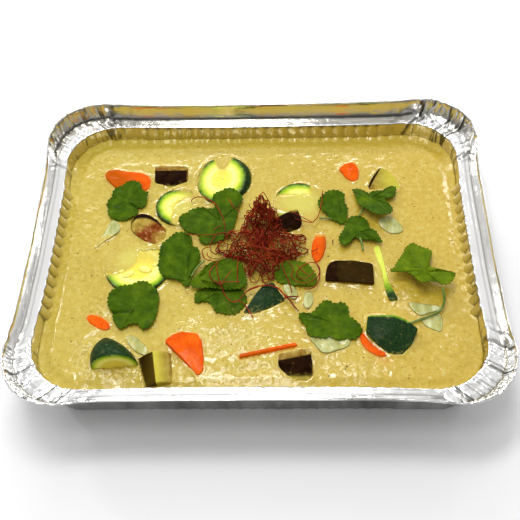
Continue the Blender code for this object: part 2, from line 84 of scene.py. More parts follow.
# %% The node helper
class Nodes:
    """A node tree with a short way to add each kind of node."""

    def __init__(self, tree):
        self.tree = tree

    def add(self, kind, **settings):
        """A new node with some of its settings."""
        node = self.tree.nodes.new("ShaderNode" + kind)
        for name, value in settings.items():
            setattr(node, name, value)
        return node

    def feed(self, socket, value):
        """Sets a socket to a number or a colour, or links another socket to it."""
        if isinstance(value, (int, float)):
            socket.default_value = value
        elif isinstance(value, tuple):
            socket.default_value = (*value, 1)
        else:
            self.tree.links.new(value, socket)

    def place(self):
        """Where a point of the surface lies, in metres."""
        return self.add("TexCoord").outputs["Object"]

    def noted(self, name):
        """A value that the mesh's points carry."""
        return self.add("Attribute", attribute_name=name).outputs["Fac"]

    def sums(self, how, first, second=0.0, clamped=False):
        """One step of arithmetic on two values."""
        node = self.add("Math", operation=how, use_clamp=clamped)
        self.feed(node.inputs[0], first)
        self.feed(node.inputs[1], second)
        return node.outputs[0]

    def ranged(self, value, low, high, out_low=0.0, out_high=1.0):
        """The value with low to high stretched to out_low to out_high, and held at both ends."""
        node = self.add("MapRange")
        for socket, number in zip(node.inputs, (value, low, high, out_low, out_high)):
            self.feed(socket, number)
        return node.outputs["Result"]

    def noise(self, source, scale, detail=3.0, roughness=0.5, stretch=None):
        """A noise on a coordinate, with an optional stretch along the axes."""
        if stretch:
            mapping = self.add("Mapping")
            mapping.inputs["Scale"].default_value = stretch
            self.feed(mapping.inputs["Vector"], source)
            source = mapping.outputs["Vector"]
        node = self.add("TexNoise")
        takes = {"Vector": source, "Scale": scale, "Detail": detail, "Roughness": roughness}
        for name, value in takes.items():
            self.feed(node.inputs[name], value)
        return node.outputs["Fac"]

    def mixed(self, share, first, second, how="MIX"):
        """The first colour with a share of the second over it."""
        node = self.add("Mix", data_type="RGBA", blend_type=how)
        for index, value in ((0, share), (6, first), (7, second)):
            self.feed(node.inputs[index], value)
        return node.outputs[2]

    def ramped(self, value, stops):
        """A colour ramp with (position, colour) stops."""
        node = self.add("ValToRGB")
        elements = node.color_ramp.elements
        while len(elements) < len(stops):
            elements.new(0.5)
        for element, (position, colour) in zip(elements, stops):
            element.position = position
            element.color = (*colour, 1)
        self.feed(node.inputs["Fac"], value)
        return node.outputs["Color"]

    def bumped(self, height, distance, under=None):
        """A normal bent by a height, over the normal that another bump gives."""
        node = self.add("Bump")
        self.feed(node.inputs["Height"], height)
        self.feed(node.inputs["Distance"], distance)
        if under:
            self.feed(node.inputs["Normal"], under)
        return node.outputs["Normal"]

# %% A new material
def new_material(name):
    """A material, its nodes, and its shader."""
    made = bpy.data.materials.new(name)
    made.use_nodes = True
    print("material", len(bpy.data.materials), "is", name)
    return made, Nodes(made.node_tree), made.node_tree.nodes["Principled BSDF"]

def glossed(shader, specular, coat=0.0, coat_roughness=0.03):
    """How strongly a surface mirrors, and the clear wet layer over it."""
    shader.inputs["Specular IOR Level"].default_value = specular
    shader.inputs["Coat Weight"].default_value = coat
    shader.inputs["Coat Roughness"].default_value = coat_roughness

# %% [markdown]
# ## Light and floor
# Foil is a mirror, so what stands round it matters as much as the lamps. A white sky overhead
# gives the rim its bright faces and its darker horizon gives the folds their grey lines. Soft
# lamps above and behind make the small glints on the wet sauce. The floor is plain and pale.

# %% Sky
world = bpy.data.worlds.new("studio")
bpy.context.scene.world = world
world.use_nodes = True
sky = Nodes(world.node_tree)
direction = sky.add("SeparateXYZ")
sky.feed(direction.inputs["Vector"], sky.add("TexCoord").outputs["Generated"])

def greys_along(axis, stops):
    """Greys along one axis of the sky, as (share of the way from -1 to 1, grey)."""
    share = sky.ranged(direction.outputs[axis], -1, 1)
    return sky.ramped(share, [(position, (grey, grey, grey)) for position, grey in stops])

by_height = greys_along("Z", ((0.5, 0.44), (0.58, 0.54), (0.72, 0.82), (0.9, 1.0)))
by_depth = greys_along("Y", ((0.1, 0.66), (0.45, 0.72), (0.64, 1.12), (0.85, 1.36)))
background = world.node_tree.nodes["Background"]
sky.feed(background.inputs["Color"], sky.mixed(1.0, by_height, by_depth, "MULTIPLY"))
background.inputs["Strength"].default_value = 0.68
print("sky:", len(world.node_tree.nodes), "nodes")

# %% Lamps
def softbox(name, place, size, power):
    """A flat lamp, size wide and tall, that looks at the middle of the tray."""
    lamp = bpy.data.lights.new(name, "AREA")
    lamp.shape = "RECTANGLE"
    lamp.size, lamp.size_y = size
    lamp.energy = power
    holder = bpy.data.objects.new(name, lamp)
    holder.location = place
    holder.rotation_euler = (-Vector(place)).to_track_quat("-Z", "Y").to_euler()
    bpy.context.scene.collection.objects.link(holder)

softbox("overhead", (-0.07, -0.17, 0.70), (0.16, 0.16), 0.6)
softbox("window", (-0.07, 0.10, 0.71), (0.28, 0.14), 1.9)
softbox("back_strip", (-0.05, 0.62, 0.40), (0.60, 0.05), 1.5)
softbox("low_back_right", (0.40, 0.46, 0.46), (0.07, 0.07), 0.25)
softbox("low_back_left", (-0.50, 0.30, 0.42), (0.07, 0.07), 0.4)

# %% Floor
def plain_object(name, bm):
    """Turns a bmesh into a smooth object at the origin."""
    mesh = bpy.data.meshes.new(name)
    bm.to_mesh(mesh)
    bm.free()
    mesh.shade_smooth()
    made = bpy.data.objects.new(name, mesh)
    bpy.context.scene.collection.objects.link(made)
    return made

bm = bmesh.new()
bmesh.ops.create_grid(bm, x_segments=1, y_segments=1, size=3.0)
floor = plain_object("floor", bm)
paper, _, shader = new_material("floor_paper")
shader.inputs["Base Color"].default_value = (0.97, 0.97, 0.97, 1)
shader.inputs["Roughness"].default_value = 0.8
floor.data.materials.append(paper)
print("floor:", floor.dimensions[:])

# %% [markdown]
# ## Foil tray
# The real tray is one sheet of thin aluminium, pressed so that its walls gather into rounded
# flutes, its corners crumple, and its edge stands up in a lip with a rolled hem. It could be cut
# from a block, but a pressed sheet is easiest to follow as one loop of edge, extruded again and
# again: each new loop is moved out to the next line of the section. A Solidify gives the sheet
# its thickness at the end.

# %% Where the tray's columns stand
OPENING = (209.2, 159.2)  # width and depth inside the rim, in millimetres
WALL_DRAFT = 4.2  # the wall leans in by this much towards the base
FLUTE_PITCH = 6.1
FRONT, RIGHT, BACK, LEFT = range(4)
FLUTES = (21, 13, 21, 13)
FLUTE_SHARES = (0.7, 1.0, 0.22, 1.0)  # how deep the flutes of each side are pressed
STEPS_PER_FLUTE = 6
END_STEPS = 12
CORNER_STEPS = 100
SIDES = ((0, -1), (1, 0), (0, 1), (-1, 0))
CORNERS = ((1, -1), (1, 1), (-1, 1), (-1, -1))

def tray_columns():
    """(side, place on the side, None) or (side, None, angle in its corner), anticlockwise."""
    columns = []
    for side in (FRONT, RIGHT, BACK, LEFT):
        steps = FLUTES[side] * STEPS_PER_FLUTE
        ends = [1 + (i + 1) / (END_STEPS + 1) for i in range(END_STEPS)]
        columns += [(side, -end, None) for end in reversed(ends)]
        columns += [(side, -1 + 2 * i / steps, None) for i in range(steps + 1)]
        columns += [(side, end, None) for end in ends]
        start = math.pi / 2 * (side - 1)
        for i in range(CORNER_STEPS + 1):
            columns.append((side, None, start + math.pi / 2 * i / CORNER_STEPS))
    return columns

COLUMNS = tray_columns()
print("columns round the tray:", len(COLUMNS))

# %% One line of the tray's section
RIM_BULGE = 2.0
BULGE_AT_ARC_END = 0.6

def held(value, low=0.0, high=1.0):
    """The value, held between two limits."""
    return max(low, min(high, value))

def tray_point(column, offset, corner, flute=0.0, bulge=0.0, pull=0.0):
    """The place in millimetres of a column on the loop that lies offset outside the opening.

    flute is the depth of the rounded ribs, bulge swells the corners, and pull draws in the
    middle of the sides.
    """
    side, place, angle = column
    half = (OPENING[0] / 2 + offset, OPENING[1] / 2 + offset)
    if angle is None:
        out_x, out_y = SIDES[side]
        reach = half[0] if out_x else half[1]
        fluted = FLUTES[side] * FLUTE_PITCH / 2
        straight = (half[1] if out_x else half[0]) - corner
        if abs(place) <= 1:
            along = place * fluted
            rib = abs(math.cos(math.pi * along / FLUTE_PITCH)) ** 0.8
            reach -= flute * FLUTE_SHARES[side] * rib
        else:
            past = abs(place) - 1
            along = math.copysign(fluted + past * (straight - fluted), place)
            reach += bulge * BULGE_AT_ARC_END * past**2
        reach -= pull * max(0.0, 1 - (along / straight) ** 2)
        return Vector((out_x * reach - out_y * along, out_y * reach + out_x * along))
    sign_x, sign_y = CORNERS[side]
    middle = math.sin(2 * angle) ** 2
    radius = corner + bulge * (BULGE_AT_ARC_END + (1 - BULGE_AT_ARC_END) * middle)
    centre = Vector((sign_x * (half[0] - corner), sign_y * (half[1] - corner)))
    return centre + Vector((math.cos(angle), math.sin(angle))) * radius

def corner_share(column):
    """1 in a corner's arc, falling to 0 along the end of a straight side."""
    _, place, angle = column
    return 1.0 if angle is not None else held((abs(place) - 1.2) / 0.7)

# %% The tray's section, from the middle of the base to the rolled hem
LEVEL = 26.2  # the sauce stands this high in the tray
FLANGE_Z, LIP_Z = 33.0, 39.8
WALL_TOP = 32.7  # below this height the foil is wall, above it flange and lip
FLANGE, LIP = 7.4, 7.9
HEM = 0.45
BASE_CORNER, FLANGE_CORNER, LIP_CORNER = 15, 25, 26
WALL_HEIGHTS = (2.6, 7, 12, 17, 21.5, 24.4, 25.6, 26.8, 28, 29.2, 30.2, 31, 31.7, 32.2, 32.6)

def wall_line(z, flute):
    share = z / FLANGE_Z
    return (-WALL_DRAFT * (1 - share), BASE_CORNER + (FLANGE_CORNER - BASE_CORNER) * share, z, flute)

def flute_at(z):
    """Depth of the ribs on the side walls at a height: they die away at the base and the flange."""
    return 2.8 * min(1.0, (z / 22) ** 0.6) * (1.0 - 0.8 * held((z - 26.6) / 6.4))

def section():
    """Rows of (offset, corner, height, flute, bulge, crumple, fold), where fold is the painted shade of a
    fold.
    """
    rows = []
    for inset, z in ((40, 0.5), (14, 0.5), (12.6, 0.15), (11.4, 0.15), (10.2, 0.5), (8.0, 0.4)):
        rows.append((-inset, max(2.0, 17.4 - inset), z, 0, 0, 0, 0))
    rows += [(-6.0, 12.4, 0.15, 0.0, 0, 0.3, 0), (-4.9, 14.0, 0.7, 0.25, 0, 0.3, 0)]
    for z in WALL_HEIGHTS:
        rows.append((*wall_line(z, flute_at(z)), 0, 0.45, 0.55 if z == WALL_HEIGHTS[-1] else 0))
    for offset, z, flute in (
        (0.1, 32.95, 0.45), (0.4, 33.05, 0.3), (0.9, 33.12, 0.1), (1.3, 32.98, 0), (1.7, 33.08, 0),
        (2.2, 33.0, 0), (3.4, 32.96, 0), (3.9, 33.08, 0), (4.4, 32.98, 0), (5.0, 33.0, 0), (5.6, 32.9, 0),
    ):
        share = offset / FLANGE
        rows.append((offset, FLANGE_CORNER + share, z, flute, RIM_BULGE * share, 0.8, 0))
    # The foot of the lip is a fold, darkened with painted shade.
    for offset, z, fold in (
        (5.9, 32.6, 0.7), (6.2, 32.7, 0.95), (6.4, 33.3, 0.9), (6.7, 34.0, 0.3), (7.0, 35.0, 0),
        (7.25, 36.2, 0), (7.45, 37.4, 0), (7.6, 38.5, 0),
    ):
        rows.append((offset, LIP_CORNER, z, 0, RIM_BULGE, 1.0, fold))
    for degrees in range(170, -111, -40):
        a = math.radians(degrees)
        x = LIP + HEM * (1 + math.cos(a))
        rows.append((x, LIP_CORNER, LIP_Z - HEM + HEM * math.sin(a), 0, RIM_BULGE, 0.8, 0))
    return rows

ROWS = section()
print("lines in the section:", len(ROWS))

# %% Crumples: pleats across the corners, and long soft dents along the sides
def pleating(point, z):
    """How far a pleat in the corner stands in or out, from about -1 to 1."""
    turn = math.atan2(point.y, point.x) * 60
    wobble = noise.noise(Vector((turn * 0.35, z * 0.12, 3.0)))
    wide = noise.noise(Vector((turn * 0.95 + 1.5 * wobble, z * 0.05, 9.0)))
    return wide + 0.7 * noise.noise(Vector((turn * 2.3, z * 0.12, 5.0)))

def crumple(point, corner, z):
    """How far the foil stands off its true place: (outwards, upwards), in millimetres."""
    pleat = pleating(point, z) if corner > 0 else 0.0
    fine = noise.noise(Vector((point.x * 0.8, point.y * 0.8, z * 0.8)))
    dent = noise.noise(Vector((point.x * 0.035, point.y * 0.035, 2.0)))
    small = noise.noise(Vector((point.x * 0.13, point.y * 0.13, 6.0 + z * 0.1)))
    out = corner * (0.85 * pleat + 0.2 * fine) + 0.3 * dent + 0.10 * small
    up = corner * (0.34 * fine + 0.30 * pleat) + 0.12 * dent + 0.07 * small
    return out, up

# %% [markdown]
# ## What each point of the foil notes down
# Folds in real foil look dark because they mirror each other, and the inside of the wall has a
# thin film of sauce. Both could be painted on an image, but the shape already knows where they
# are. So each point keeps a few values: how much painted shade its fold gets, how much gold-brown
# tint lies on it (sauce film with painted shade on the wall, a painted reflection of the sauce on
# the back lip), and its place along and across the flange, for the painted shade of the pressed
# dashes.

# %% Painted shade in the folds, and the film with painted shade and reflection
def painted_fold_shade_at(column, row, flat):
    """How much painted shade darkens the foil at a place, from 0 to 1: folds, corner pleats, flute
    grooves and front flange streaks.
    """
    side, place, angle = column
    offset, _, z, flute, _, crush, fold = row
    pleat = pleating(flat, z) if z > 20 else 0.0
    pleat_shade = corner_share(column) * held(-2.6 * pleat - 0.4) * (0.9 if z < WALL_TOP else crush)
    groove_shade = 0.0
    if flute > 0.5 and angle is None and abs(place) <= 1:
        between = 1 - abs(math.cos(math.pi * place * FLUTES[side] / 2))
        groove_shade = 0.75 * FLUTE_SHARES[side] * between**2
        if side == BACK and z > 30.4:
            groove_shade = min(1.0, 0.55 * (z - 30.4)) * between**0.8
    fold_shade = fold if side == BACK or z < WALL_TOP else 0.25 * fold
    # Painted shade: grey streaks along the front flange.
    if side == FRONT and angle is None and z > WALL_TOP:
        streak = noise.noise(Vector((flat.x * 0.03, offset * 1.6, 4.0)))
        fold_shade = max(fold_shade, min(0.62, 3.2 * streak - 0.2))
    return max(fold_shade, pleat_shade, groove_shade)

def film_shade_and_reflection_at(side, z):
    """How much gold-brown tint the foil takes: over the waterline a film of sauce with painted shade,
    most on the front and back walls, and on the back lip a painted reflection of the sauce.
    """
    if side == BACK and z > 34.5:
        return 0.4
    if LEVEL - 4 < z < WALL_TOP:
        return 0.5 if side in (LEFT, RIGHT) else 1.0
    return 0.0

# %% Extrude the tray loop by loop
OFF_THE_FLANGE = -9.0

def shaped(loop, row, layers=()):
    """Moves a loop of vertices onto one line of the section and notes how it is folded."""
    offset, corner, z, flute, bulge, crush, _ = row
    pull = 0.9 * held((z - 22) / 10.5)
    around = 0.0
    for index, (vertex, column) in enumerate(zip(loop, COLUMNS)):
        side = column[0]
        flat = tray_point(column, offset, corner, flute, bulge, pull)
        out, up = crumple(flat, corner_share(column), z)
        outward = tray_point(column, offset + 1, corner + 1, flute, bulge, pull) - flat
        if index:
            around += (flat - tray_point(COLUMNS[index - 1], offset, corner, 0, bulge, pull)).length
        if layers:
            across = offset if z > WALL_TOP and side in (LEFT, RIGHT) else OFF_THE_FLANGE
            values = (painted_fold_shade_at(column, row, flat), film_shade_and_reflection_at(side, z), around, across)
            for layer, value in zip(layers, values):
                vertex[layer] = value
        risen = max(0.0, z - 33.4) / 6.4
        back = held((flat.y - 35) / 40)
        flat += outward.normalized() * (out * crush + risen * (0.6 - 0.3 * back))
        vertex.co = Vector((flat.x, flat.y, z + up * crush + 2.0 * back * risen)) * MM

def grown(bm, loop, edges):
    """Extrudes a closed loop once and gives the new loop, in the same order, and its edges."""
    made = bmesh.ops.extrude_edge_only(bm, edges=edges)["geom"]
    fresh = {item for item in made if isinstance(item, bmesh.types.BMVert)}
    edges = [e for e in made if isinstance(e, bmesh.types.BMEdge) and fresh.issuperset(e.verts)]
    ends = [[edge.other_vert(vertex) for edge in vertex.link_edges] for vertex in loop]
    return [next(end for end in pair if end in fresh) for pair in ends], edges

bm = bmesh.new()
# fold holds painted shade, and film the gold-brown tint of sauce film, painted shade and painted
# reflection.
layers = [bm.verts.layers.float.new(name) for name in ("fold", "film", "around", "across")]
loop = bmesh.ops.create_circle(bm, cap_ends=True, segments=len(COLUMNS), radius=1.0)["verts"]
shaped(loop, ROWS[0], layers)
edges = list(bm.edges)
for row in ROWS[1:]:
    loop, edges = grown(bm, loop, edges)
    shaped(loop, row, layers)
bmesh.ops.recalc_face_normals(bm, faces=bm.faces)
bm.faces.ensure_lookup_table()
if bm.faces[0].normal.z < 0:
    bmesh.ops.reverse_faces(bm, faces=bm.faces)
tray = plain_object("tray", bm)
sheet = tray.modifiers.new("foil thickness", "SOLIDIFY")
sheet.thickness = 0.15 * MM
sheet.offset = -1
sheet.material_offset = 1
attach(tray, "root")
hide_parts("foil_tray")
print("tray faces:", len(tray.data.polygons))

# %% [markdown]
# ## Bright foil
# Rolled aluminium is metallic all over. What makes it look like foil is its dents: the surface
# normal is bent by a broad noise for the dents, and by a stretched fine one for the streaks that
# the rollers leave. The roughness varies a little, as handling dulls it. Both faces of the sheet
# share one node group, with a duller and more dented setting for the matt outside.

# %% Node group: rolled_foil
def new_group(name, takes, gives):
    """A node group with its nodes, the outputs of its entry, and the inputs of its result."""
    group = bpy.data.node_groups.new(name, "ShaderNodeTree")
    for socket, kind, value in takes:
        made = group.interface.new_socket(name=socket, in_out="INPUT", socket_type="NodeSocket" + kind)
        if value is not None:
            made.default_value = value
    for socket, kind in gives:
        group.interface.new_socket(name=socket, in_out="OUTPUT", socket_type="NodeSocket" + kind)
    entry, result = group.nodes.new("NodeGroupInput"), group.nodes.new("NodeGroupOutput")
    return group, Nodes(group), entry.outputs, result.inputs

rolled, mix, entry, result = new_group(
    "rolled_foil",
    (("Place", "Vector", None), ("Dullness", "Float", 0.2), ("Dents", "Float", 0.00025)),
    (("Roughness", "Float"), ("Normal", "Vector")),
)
dull = mix.ranged(mix.noise(entry["Place"], 60, 4), 0.3, 0.7, 0.7, 1.3)
mix.feed(result["Roughness"], mix.sums("MULTIPLY", dull, entry["Dullness"]))
dents = mix.bumped(mix.noise(entry["Place"], 150), entry["Dents"])
streaks = mix.noise(entry["Place"], 700, 2, stretch=(0.12, 0.12, 1))
mix.feed(result["Normal"], mix.bumped(streaks, 0.00004, under=dents))
print("rolled_foil:", len(rolled.nodes), "nodes")

def foiled(mix, shader, metal, dullness, dents):
    """Makes a shader foil of a colour, by way of the rolled_foil group."""
    node = mix.add("Group", node_tree=rolled)
    for name, value in (("Place", mix.place()), ("Dullness", dullness), ("Dents", dents)):
        mix.feed(node.inputs[name], value)
    shader.inputs["Metallic"].default_value = 1.0
    mix.feed(shader.inputs["Base Color"], metal)
    mix.feed(shader.inputs["Roughness"], node.outputs["Roughness"])
    mix.feed(shader.inputs["Normal"], node.outputs["Normal"])

# %% Foil inside, with the painted shade of the flange's row of pressed dashes
DASH_LINE = 3.6  # millimetres outside the opening
DASH_TURN = 3.7  # radians of the wave per millimetre along the flange

foil, mix, shader = new_material("bright_foil")
# The gold-brown tint is a film of sauce with painted shade on the wall, and a painted reflection of the
# sauce on the back lip.
metal = mix.mixed(mix.noted("film"), (0.92, 0.915, 0.90), (0.64, 0.575, 0.34))
wave = mix.sums("SINE", mix.sums("MULTIPLY", mix.noted("around"), DASH_TURN))
off_line = mix.sums("ABSOLUTE", mix.sums("SUBTRACT", mix.noted("across"), DASH_LINE))
on_line = mix.ranged(off_line, 0.65, 0.3)
# Painted shade: the pressed dashes have no shape of their own, only a dark grey mark.
dash_shade = mix.sums("MULTIPLY", mix.ranged(wave, 0.0, 0.5, 0.0, 0.8), on_line)
metal = mix.mixed(dash_shade, metal, (0.25, 0.25, 0.25))
# Painted shade: folds, pleats, flute grooves and flange streaks are darkened in the foil's colour.
metal = mix.mixed(mix.noted("fold"), metal, (0.07, 0.065, 0.045))
foiled(mix, shader, metal, 0.16, 0.00025)
tray.data.materials.append(foil)

# %% Foil outside: the sheet's matt face, with painted shade
outside, mix, shader = new_material("matt_foil_painted_dark")
# Painted shade: the metal is a dark grey in soft patches, for the dark surroundings that the outer walls
# mirror.
painted_shade_patches = mix.noise(mix.place(), 90, stretch=(1, 1, 0.2))
metal = mix.mixed(mix.ranged(painted_shade_patches, 0.35, 0.65), (0.22, 0.22, 0.21), (0.48, 0.48, 0.47))
foiled(mix, shader, metal, 0.34, 0.0004)
tray.data.materials.append(outside)

# %% [markdown]
# ## Cut vegetables
# Each piece is a knife cut through a root or a fruit, so each has flat cut faces, a rounded skin
# and an edge that the knife and the pot have softened. They could be cut from whole vegetables
# with Booleans, but the saw-tooth joins would need cleaning. Here a piece starts as the outline
# of its upper face, with its corners softened and its points set at even distances.

# %% From an outline to a smooth loop
def arc(radius, start, stop, steps, squash=1.0):
    """Points along an arc about the origin, both ends included."""
    angles = [math.radians(start + (stop - start) * i / steps) for i in range(steps + 1)]
    return [(radius * math.cos(a), squash * radius * math.sin(a)) for a in angles]

def oval(radius, squash=1.0, points=32):
    return arc(radius, 0, 360, points, squash)[:-1]

def softened(points, corner):
    """Cuts every corner of a closed outline twice, so that it turns round within about corner."""
    loop = [Vector(p) for p in points]
    for cut in (corner, corner * 0.3):
        fresh = []
        for here, there in zip(loop, loop[1:] + loop[:1]):
            share = min(0.3, cut / max((there - here).length, 1e-6))
            fresh += [here.lerp(there, share), here.lerp(there, 1 - share)]
        loop = fresh
    return loop

def evenly(points, count):
    """The closed outline again, as count points at even distances."""
    loop = points + points[:1]
    lengths = [(b - a).length for a, b in zip(loop, loop[1:])]
    step = sum(lengths) / count
    spaced, side, gone = [], 0, 0.0
    for index in range(count):
        want = index * step
        while side < len(lengths) - 1 and gone + lengths[side] < want:
            gone += lengths[side]
            side += 1
        share = (want - gone) / max(lengths[side], 1e-9)
        spaced.append(loop[side].lerp(loop[side + 1], min(1.0, share)))
    return spaced

def anticlockwise(points):
    """The outline, turned round if it runs clockwise."""
    area = sum(a[0] * b[1] - a[1] * b[0] for a, b in zip(points, points[1:] + points[:1]))
    return points if area > 0 else points[::-1]

def even_loop(outline, corner, count):
    """An outline, anticlockwise, as count even points with softened corners, and its middle."""
    loop = evenly(softened(anticlockwise(outline), corner), count)
    return loop, sum(loop, Vector((0, 0))) / count

# %% [markdown]
# ## From rings to a closed piece
# A slice has an underside, a side, an edge and a face. One loop is extruded through rings that
# follow all four: up the side, over the softened edge, and inwards across the upper face. The
# strips between the rings are even quads, which shade smoothly. Every point keeps its depth
# under the skin, and the materials colour it by that.

# %% Extrude through rings, and finish a piece
def setting(at, rise, turn=0, pitch=0, roll=0):
    """Where a piece lies: pitch lifts its back edge and roll its left edge before the turn."""
    return (
        Matrix.Translation((at[0], at[1], LEVEL + rise))
        @ Matrix.Rotation(math.radians(turn), 4, "Z")
        @ Matrix.Rotation(math.radians(pitch), 4, "X")
        @ Matrix.Rotation(math.radians(roll), 4, "Y")
    )

def extruded_through(bm, rings, capped=True):
    """Runs one loop of edge through rings of points and closes the last, and if capped the first."""
    loop = bmesh.ops.create_circle(bm, cap_ends=capped, segments=len(rings[0]), radius=1.0)["verts"]
    edges = list(bm.edges)
    for index, ring in enumerate(rings):
        if index:
            loop, edges = grown(bm, loop, edges)
        for vertex, point in zip(loop, ring):
            vertex.co = point
    bmesh.ops.contextual_create(bm, geom=edges)

def write_note(piece, name, values):
    """Stores one value for each point of a piece, under a name that the materials read."""
    piece.data.attributes.new(name, "FLOAT", "POINT").data.foreach_set("value", values)

SUNK = []  # the pieces that stand in the sauce
LAID = {}  # where each of them lies

def finished(node, bm, matrix, material, notes):
    """Places a piece, writes its notes, and lays it over its CAD node.

    notes gives an attribute's name and the function of a local point that fills it.
    """
    bmesh.ops.recalc_face_normals(bm, faces=bm.faces)
    local = [vertex.co.copy() for vertex in bm.verts]
    bm.transform(Matrix.Scale(MM, 4) @ matrix)
    piece = plain_object(node + "_piece", bm)
    for note, fill in notes.items():
        write_note(piece, note, [fill(point) for point in local])
    piece.data.materials.append(material)
    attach(piece, "root")
    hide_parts(node)
    SUNK.append(piece)
    LAID[node] = matrix

# %% Slices and chunks with a flat upper face
EDGE_INSETS = (0.35, 0.8, 1.4, 2.2, 3.2)
INNER_SHARES = (0.82, 0.62, 0.42, 0.22, 0.08)
FACE_RINGS = len(EDGE_INSETS) + len(INNER_SHARES) + 2

def slab_rings(loop, middle, thick, shift, taper):
    """Rings of a slice, from its underside up its side and in across its upper face."""
    def ring(inset, z, share=1.0, scale=1.0, slide=0.0):
        points = []
        for point in loop:
            spoke = point - middle
            length = max(spoke.length - inset, 0.12 * spoke.length)
            flat = middle + spoke.normalized() * length * share
            flat = flat * scale + Vector(shift) * slide
            points.append(Vector((flat.x, flat.y, z)))
        return points

    rings = [ring(1.0, -thick, 0.5, taper, 1.0), ring(0.8, -thick, 1, taper, 1.0)]
    for down in (0.9, 0.7, 0.5, 0.3, 0.14):
        rings.append(ring(0.0, -thick * down, 1, 1 + (taper - 1) * down, down))
    rings += [ring(0.0, -0.42), ring(0.1, -0.14)]
    rings += [ring(inset, 0.0) for inset in EDGE_INSETS]
    return rings + [ring(EDGE_INSETS[-1], 0.0, share) for share in INNER_SHARES]

def slab(
    node, slot, material, outline, thick, at, rise, notes, crown=0, shift=(0, 0), taper=1,
    count=96, relief=0.12, seed=0, corner=1.2, **lie,
):
    """A slice or chunk whose outline is its upper face, crowned and a little uneven."""
    loop, middle = even_loop(outline, corner, count)
    rings = slab_rings(loop, middle, thick, shift, taper)
    reach = max((point.xy - middle).length for point in rings[-len(INNER_SHARES) - 1])
    for ring in rings[-FACE_RINGS:]:
        for point in ring:
            away = (point.xy - middle).length / reach
            point.z += crown * 0.9 * max(0.0, 1 - away)
            uneven = noise.noise(Vector((point.x * 0.33, point.y * 0.33, seed)))
            uneven += 0.5 * noise.noise(Vector((point.x * 0.9, point.y * 0.9, seed + 5)))
            point.z += relief * uneven - 0.5 * relief
    bm = bmesh.new()
    extruded_through(bm, rings)
    finished(node, bm, setting(at, rise, **lie), material, notes)

# %% [markdown]
# ## The wet surface that the vegetables share
# Whatever lies in a sauce is wet: a thin film fills the small pits, so the gloss is uneven, and
# cream clings in spots and along the waterline. One node group holds the film, so that every
# piece is wet in the same way. It takes the piece's own colour and gives back the colour with
# cream on it, a roughness, and a normal.

# %% Node group: wet_food
CREAM = (0.60, 0.47, 0.075)
wet, mix, entry, result = new_group(
    "wet_food",
    (
        ("Place", "Vector", None), ("Colour", "Color", None), ("Cream", "Float", 0.3),
        ("Grain", "Float", 900.0), ("Relief", "Float", 0.00012), ("Gloss", "Float", 0.22),
        ("Film", "Float", 0.0),
    ),
    (("Colour", "Color"), ("Roughness", "Float"), ("Normal", "Vector")),
)
split = mix.add("SeparateXYZ")
mix.feed(split.inputs["Vector"], entry["Place"])
patches = mix.noise(entry["Place"], 520, 4, 0.6)
near_sauce = mix.ranged(split.outputs["Z"], (LEVEL + 1.6) * MM, (LEVEL + 0.2) * MM, 0.0, 0.28)
clinging = mix.ranged(mix.sums("ADD", patches, near_sauce), 0.62, 0.80)
spots = mix.sums("MULTIPLY", clinging, entry["Cream"])
shoreline = mix.ranged(split.outputs["Z"], (LEVEL + 0.5) * MM, (LEVEL + 0.1) * MM, 0.0, 0.7)
thin = mix.sums("MAXIMUM", shoreline, entry["Film"])
spread = mix.sums("MULTIPLY", thin, mix.ranged(patches, 0.3, 0.7, 0.6, 1.3), clamped=True)
creamed = mix.mixed(mix.sums("MAXIMUM", spots, spread), entry["Colour"], CREAM)
mix.feed(result["Colour"], creamed)
uneven = mix.ranged(mix.noise(entry["Place"], 300), 0.35, 0.7, 0.7, 1.5)
mix.feed(result["Roughness"], mix.sums("MULTIPLY", uneven, entry["Gloss"]))
pits = mix.noise(entry["Place"], entry["Grain"])
mix.feed(result["Normal"], mix.bumped(pits, entry["Relief"]))
print("wet_food:", len(wet.nodes), "nodes")

def wetted(mix, shader, colour, **settings):
    """Puts the wet film on a material, over its own colour."""
    film = mix.add("Group", node_tree=wet)
    takes = {"Place": mix.place(), "Colour": colour, "Film": mix.noted("run"), **settings}
    for name, value in takes.items():
        mix.feed(film.inputs[name], value)
    for given, taken in (("Colour", "Base Color"), ("Roughness", "Roughness"), ("Normal", "Normal")):
        mix.feed(shader.inputs[taken], film.outputs[given])

# %% [markdown]
# ## Carrot
# Cooked carrot is a saturated orange with a faintly darker skin side and fine streaks that run
# out from its core. The streaks are a stretched noise. A depth attribute darkens the skin.

# %% Carrot material
carrot, mix, shader = new_material("carrot_flesh")
flesh = mix.ramped(mix.noise(mix.place(), 160), (
    (0.3, (0.68, 0.068, 0.001)), (0.5, (0.80, 0.098, 0.002)), (0.72, (0.90, 0.14, 0.004)),
))
streak = mix.noise(mix.place(), 900, 2, stretch=(1, 0.25, 1))
flesh = mix.mixed(mix.ranged(streak, 0.45, 0.7, 0, 0.3), flesh, (0.94, 0.19, 0.008))
flesh = mix.mixed(mix.noted("golden"), flesh, (0.46, 0.085, 0.0003))
rim = mix.ranged(mix.noted("depth"), 1.0, 0.0, 0, 0.75)
flesh = mix.mixed(rim, flesh, (0.60, 0.055, 0.002))
wetted(mix, shader, flesh, Cream=0.03, Relief=0.0001, Gloss=0.2)
glossed(shader, 0.03, 0.06, 0.08)

# %% Carrot pieces
def nothing(point):
    """No share of a colour anywhere, or no depth."""
    return 0.0

def from_top(point):
    """Depth under the skin: the sides of a piece count as skin, its upper face as flesh."""
    return 3.0 + 1.6 * point.z if point.z < -0.3 else 3.0

def from_edge(point, least, slope, past):
    """Depth on a face that meets the skin at one edge, past millimetres behind the point."""
    return min(from_top(point), least + slope * max(0.0, past))

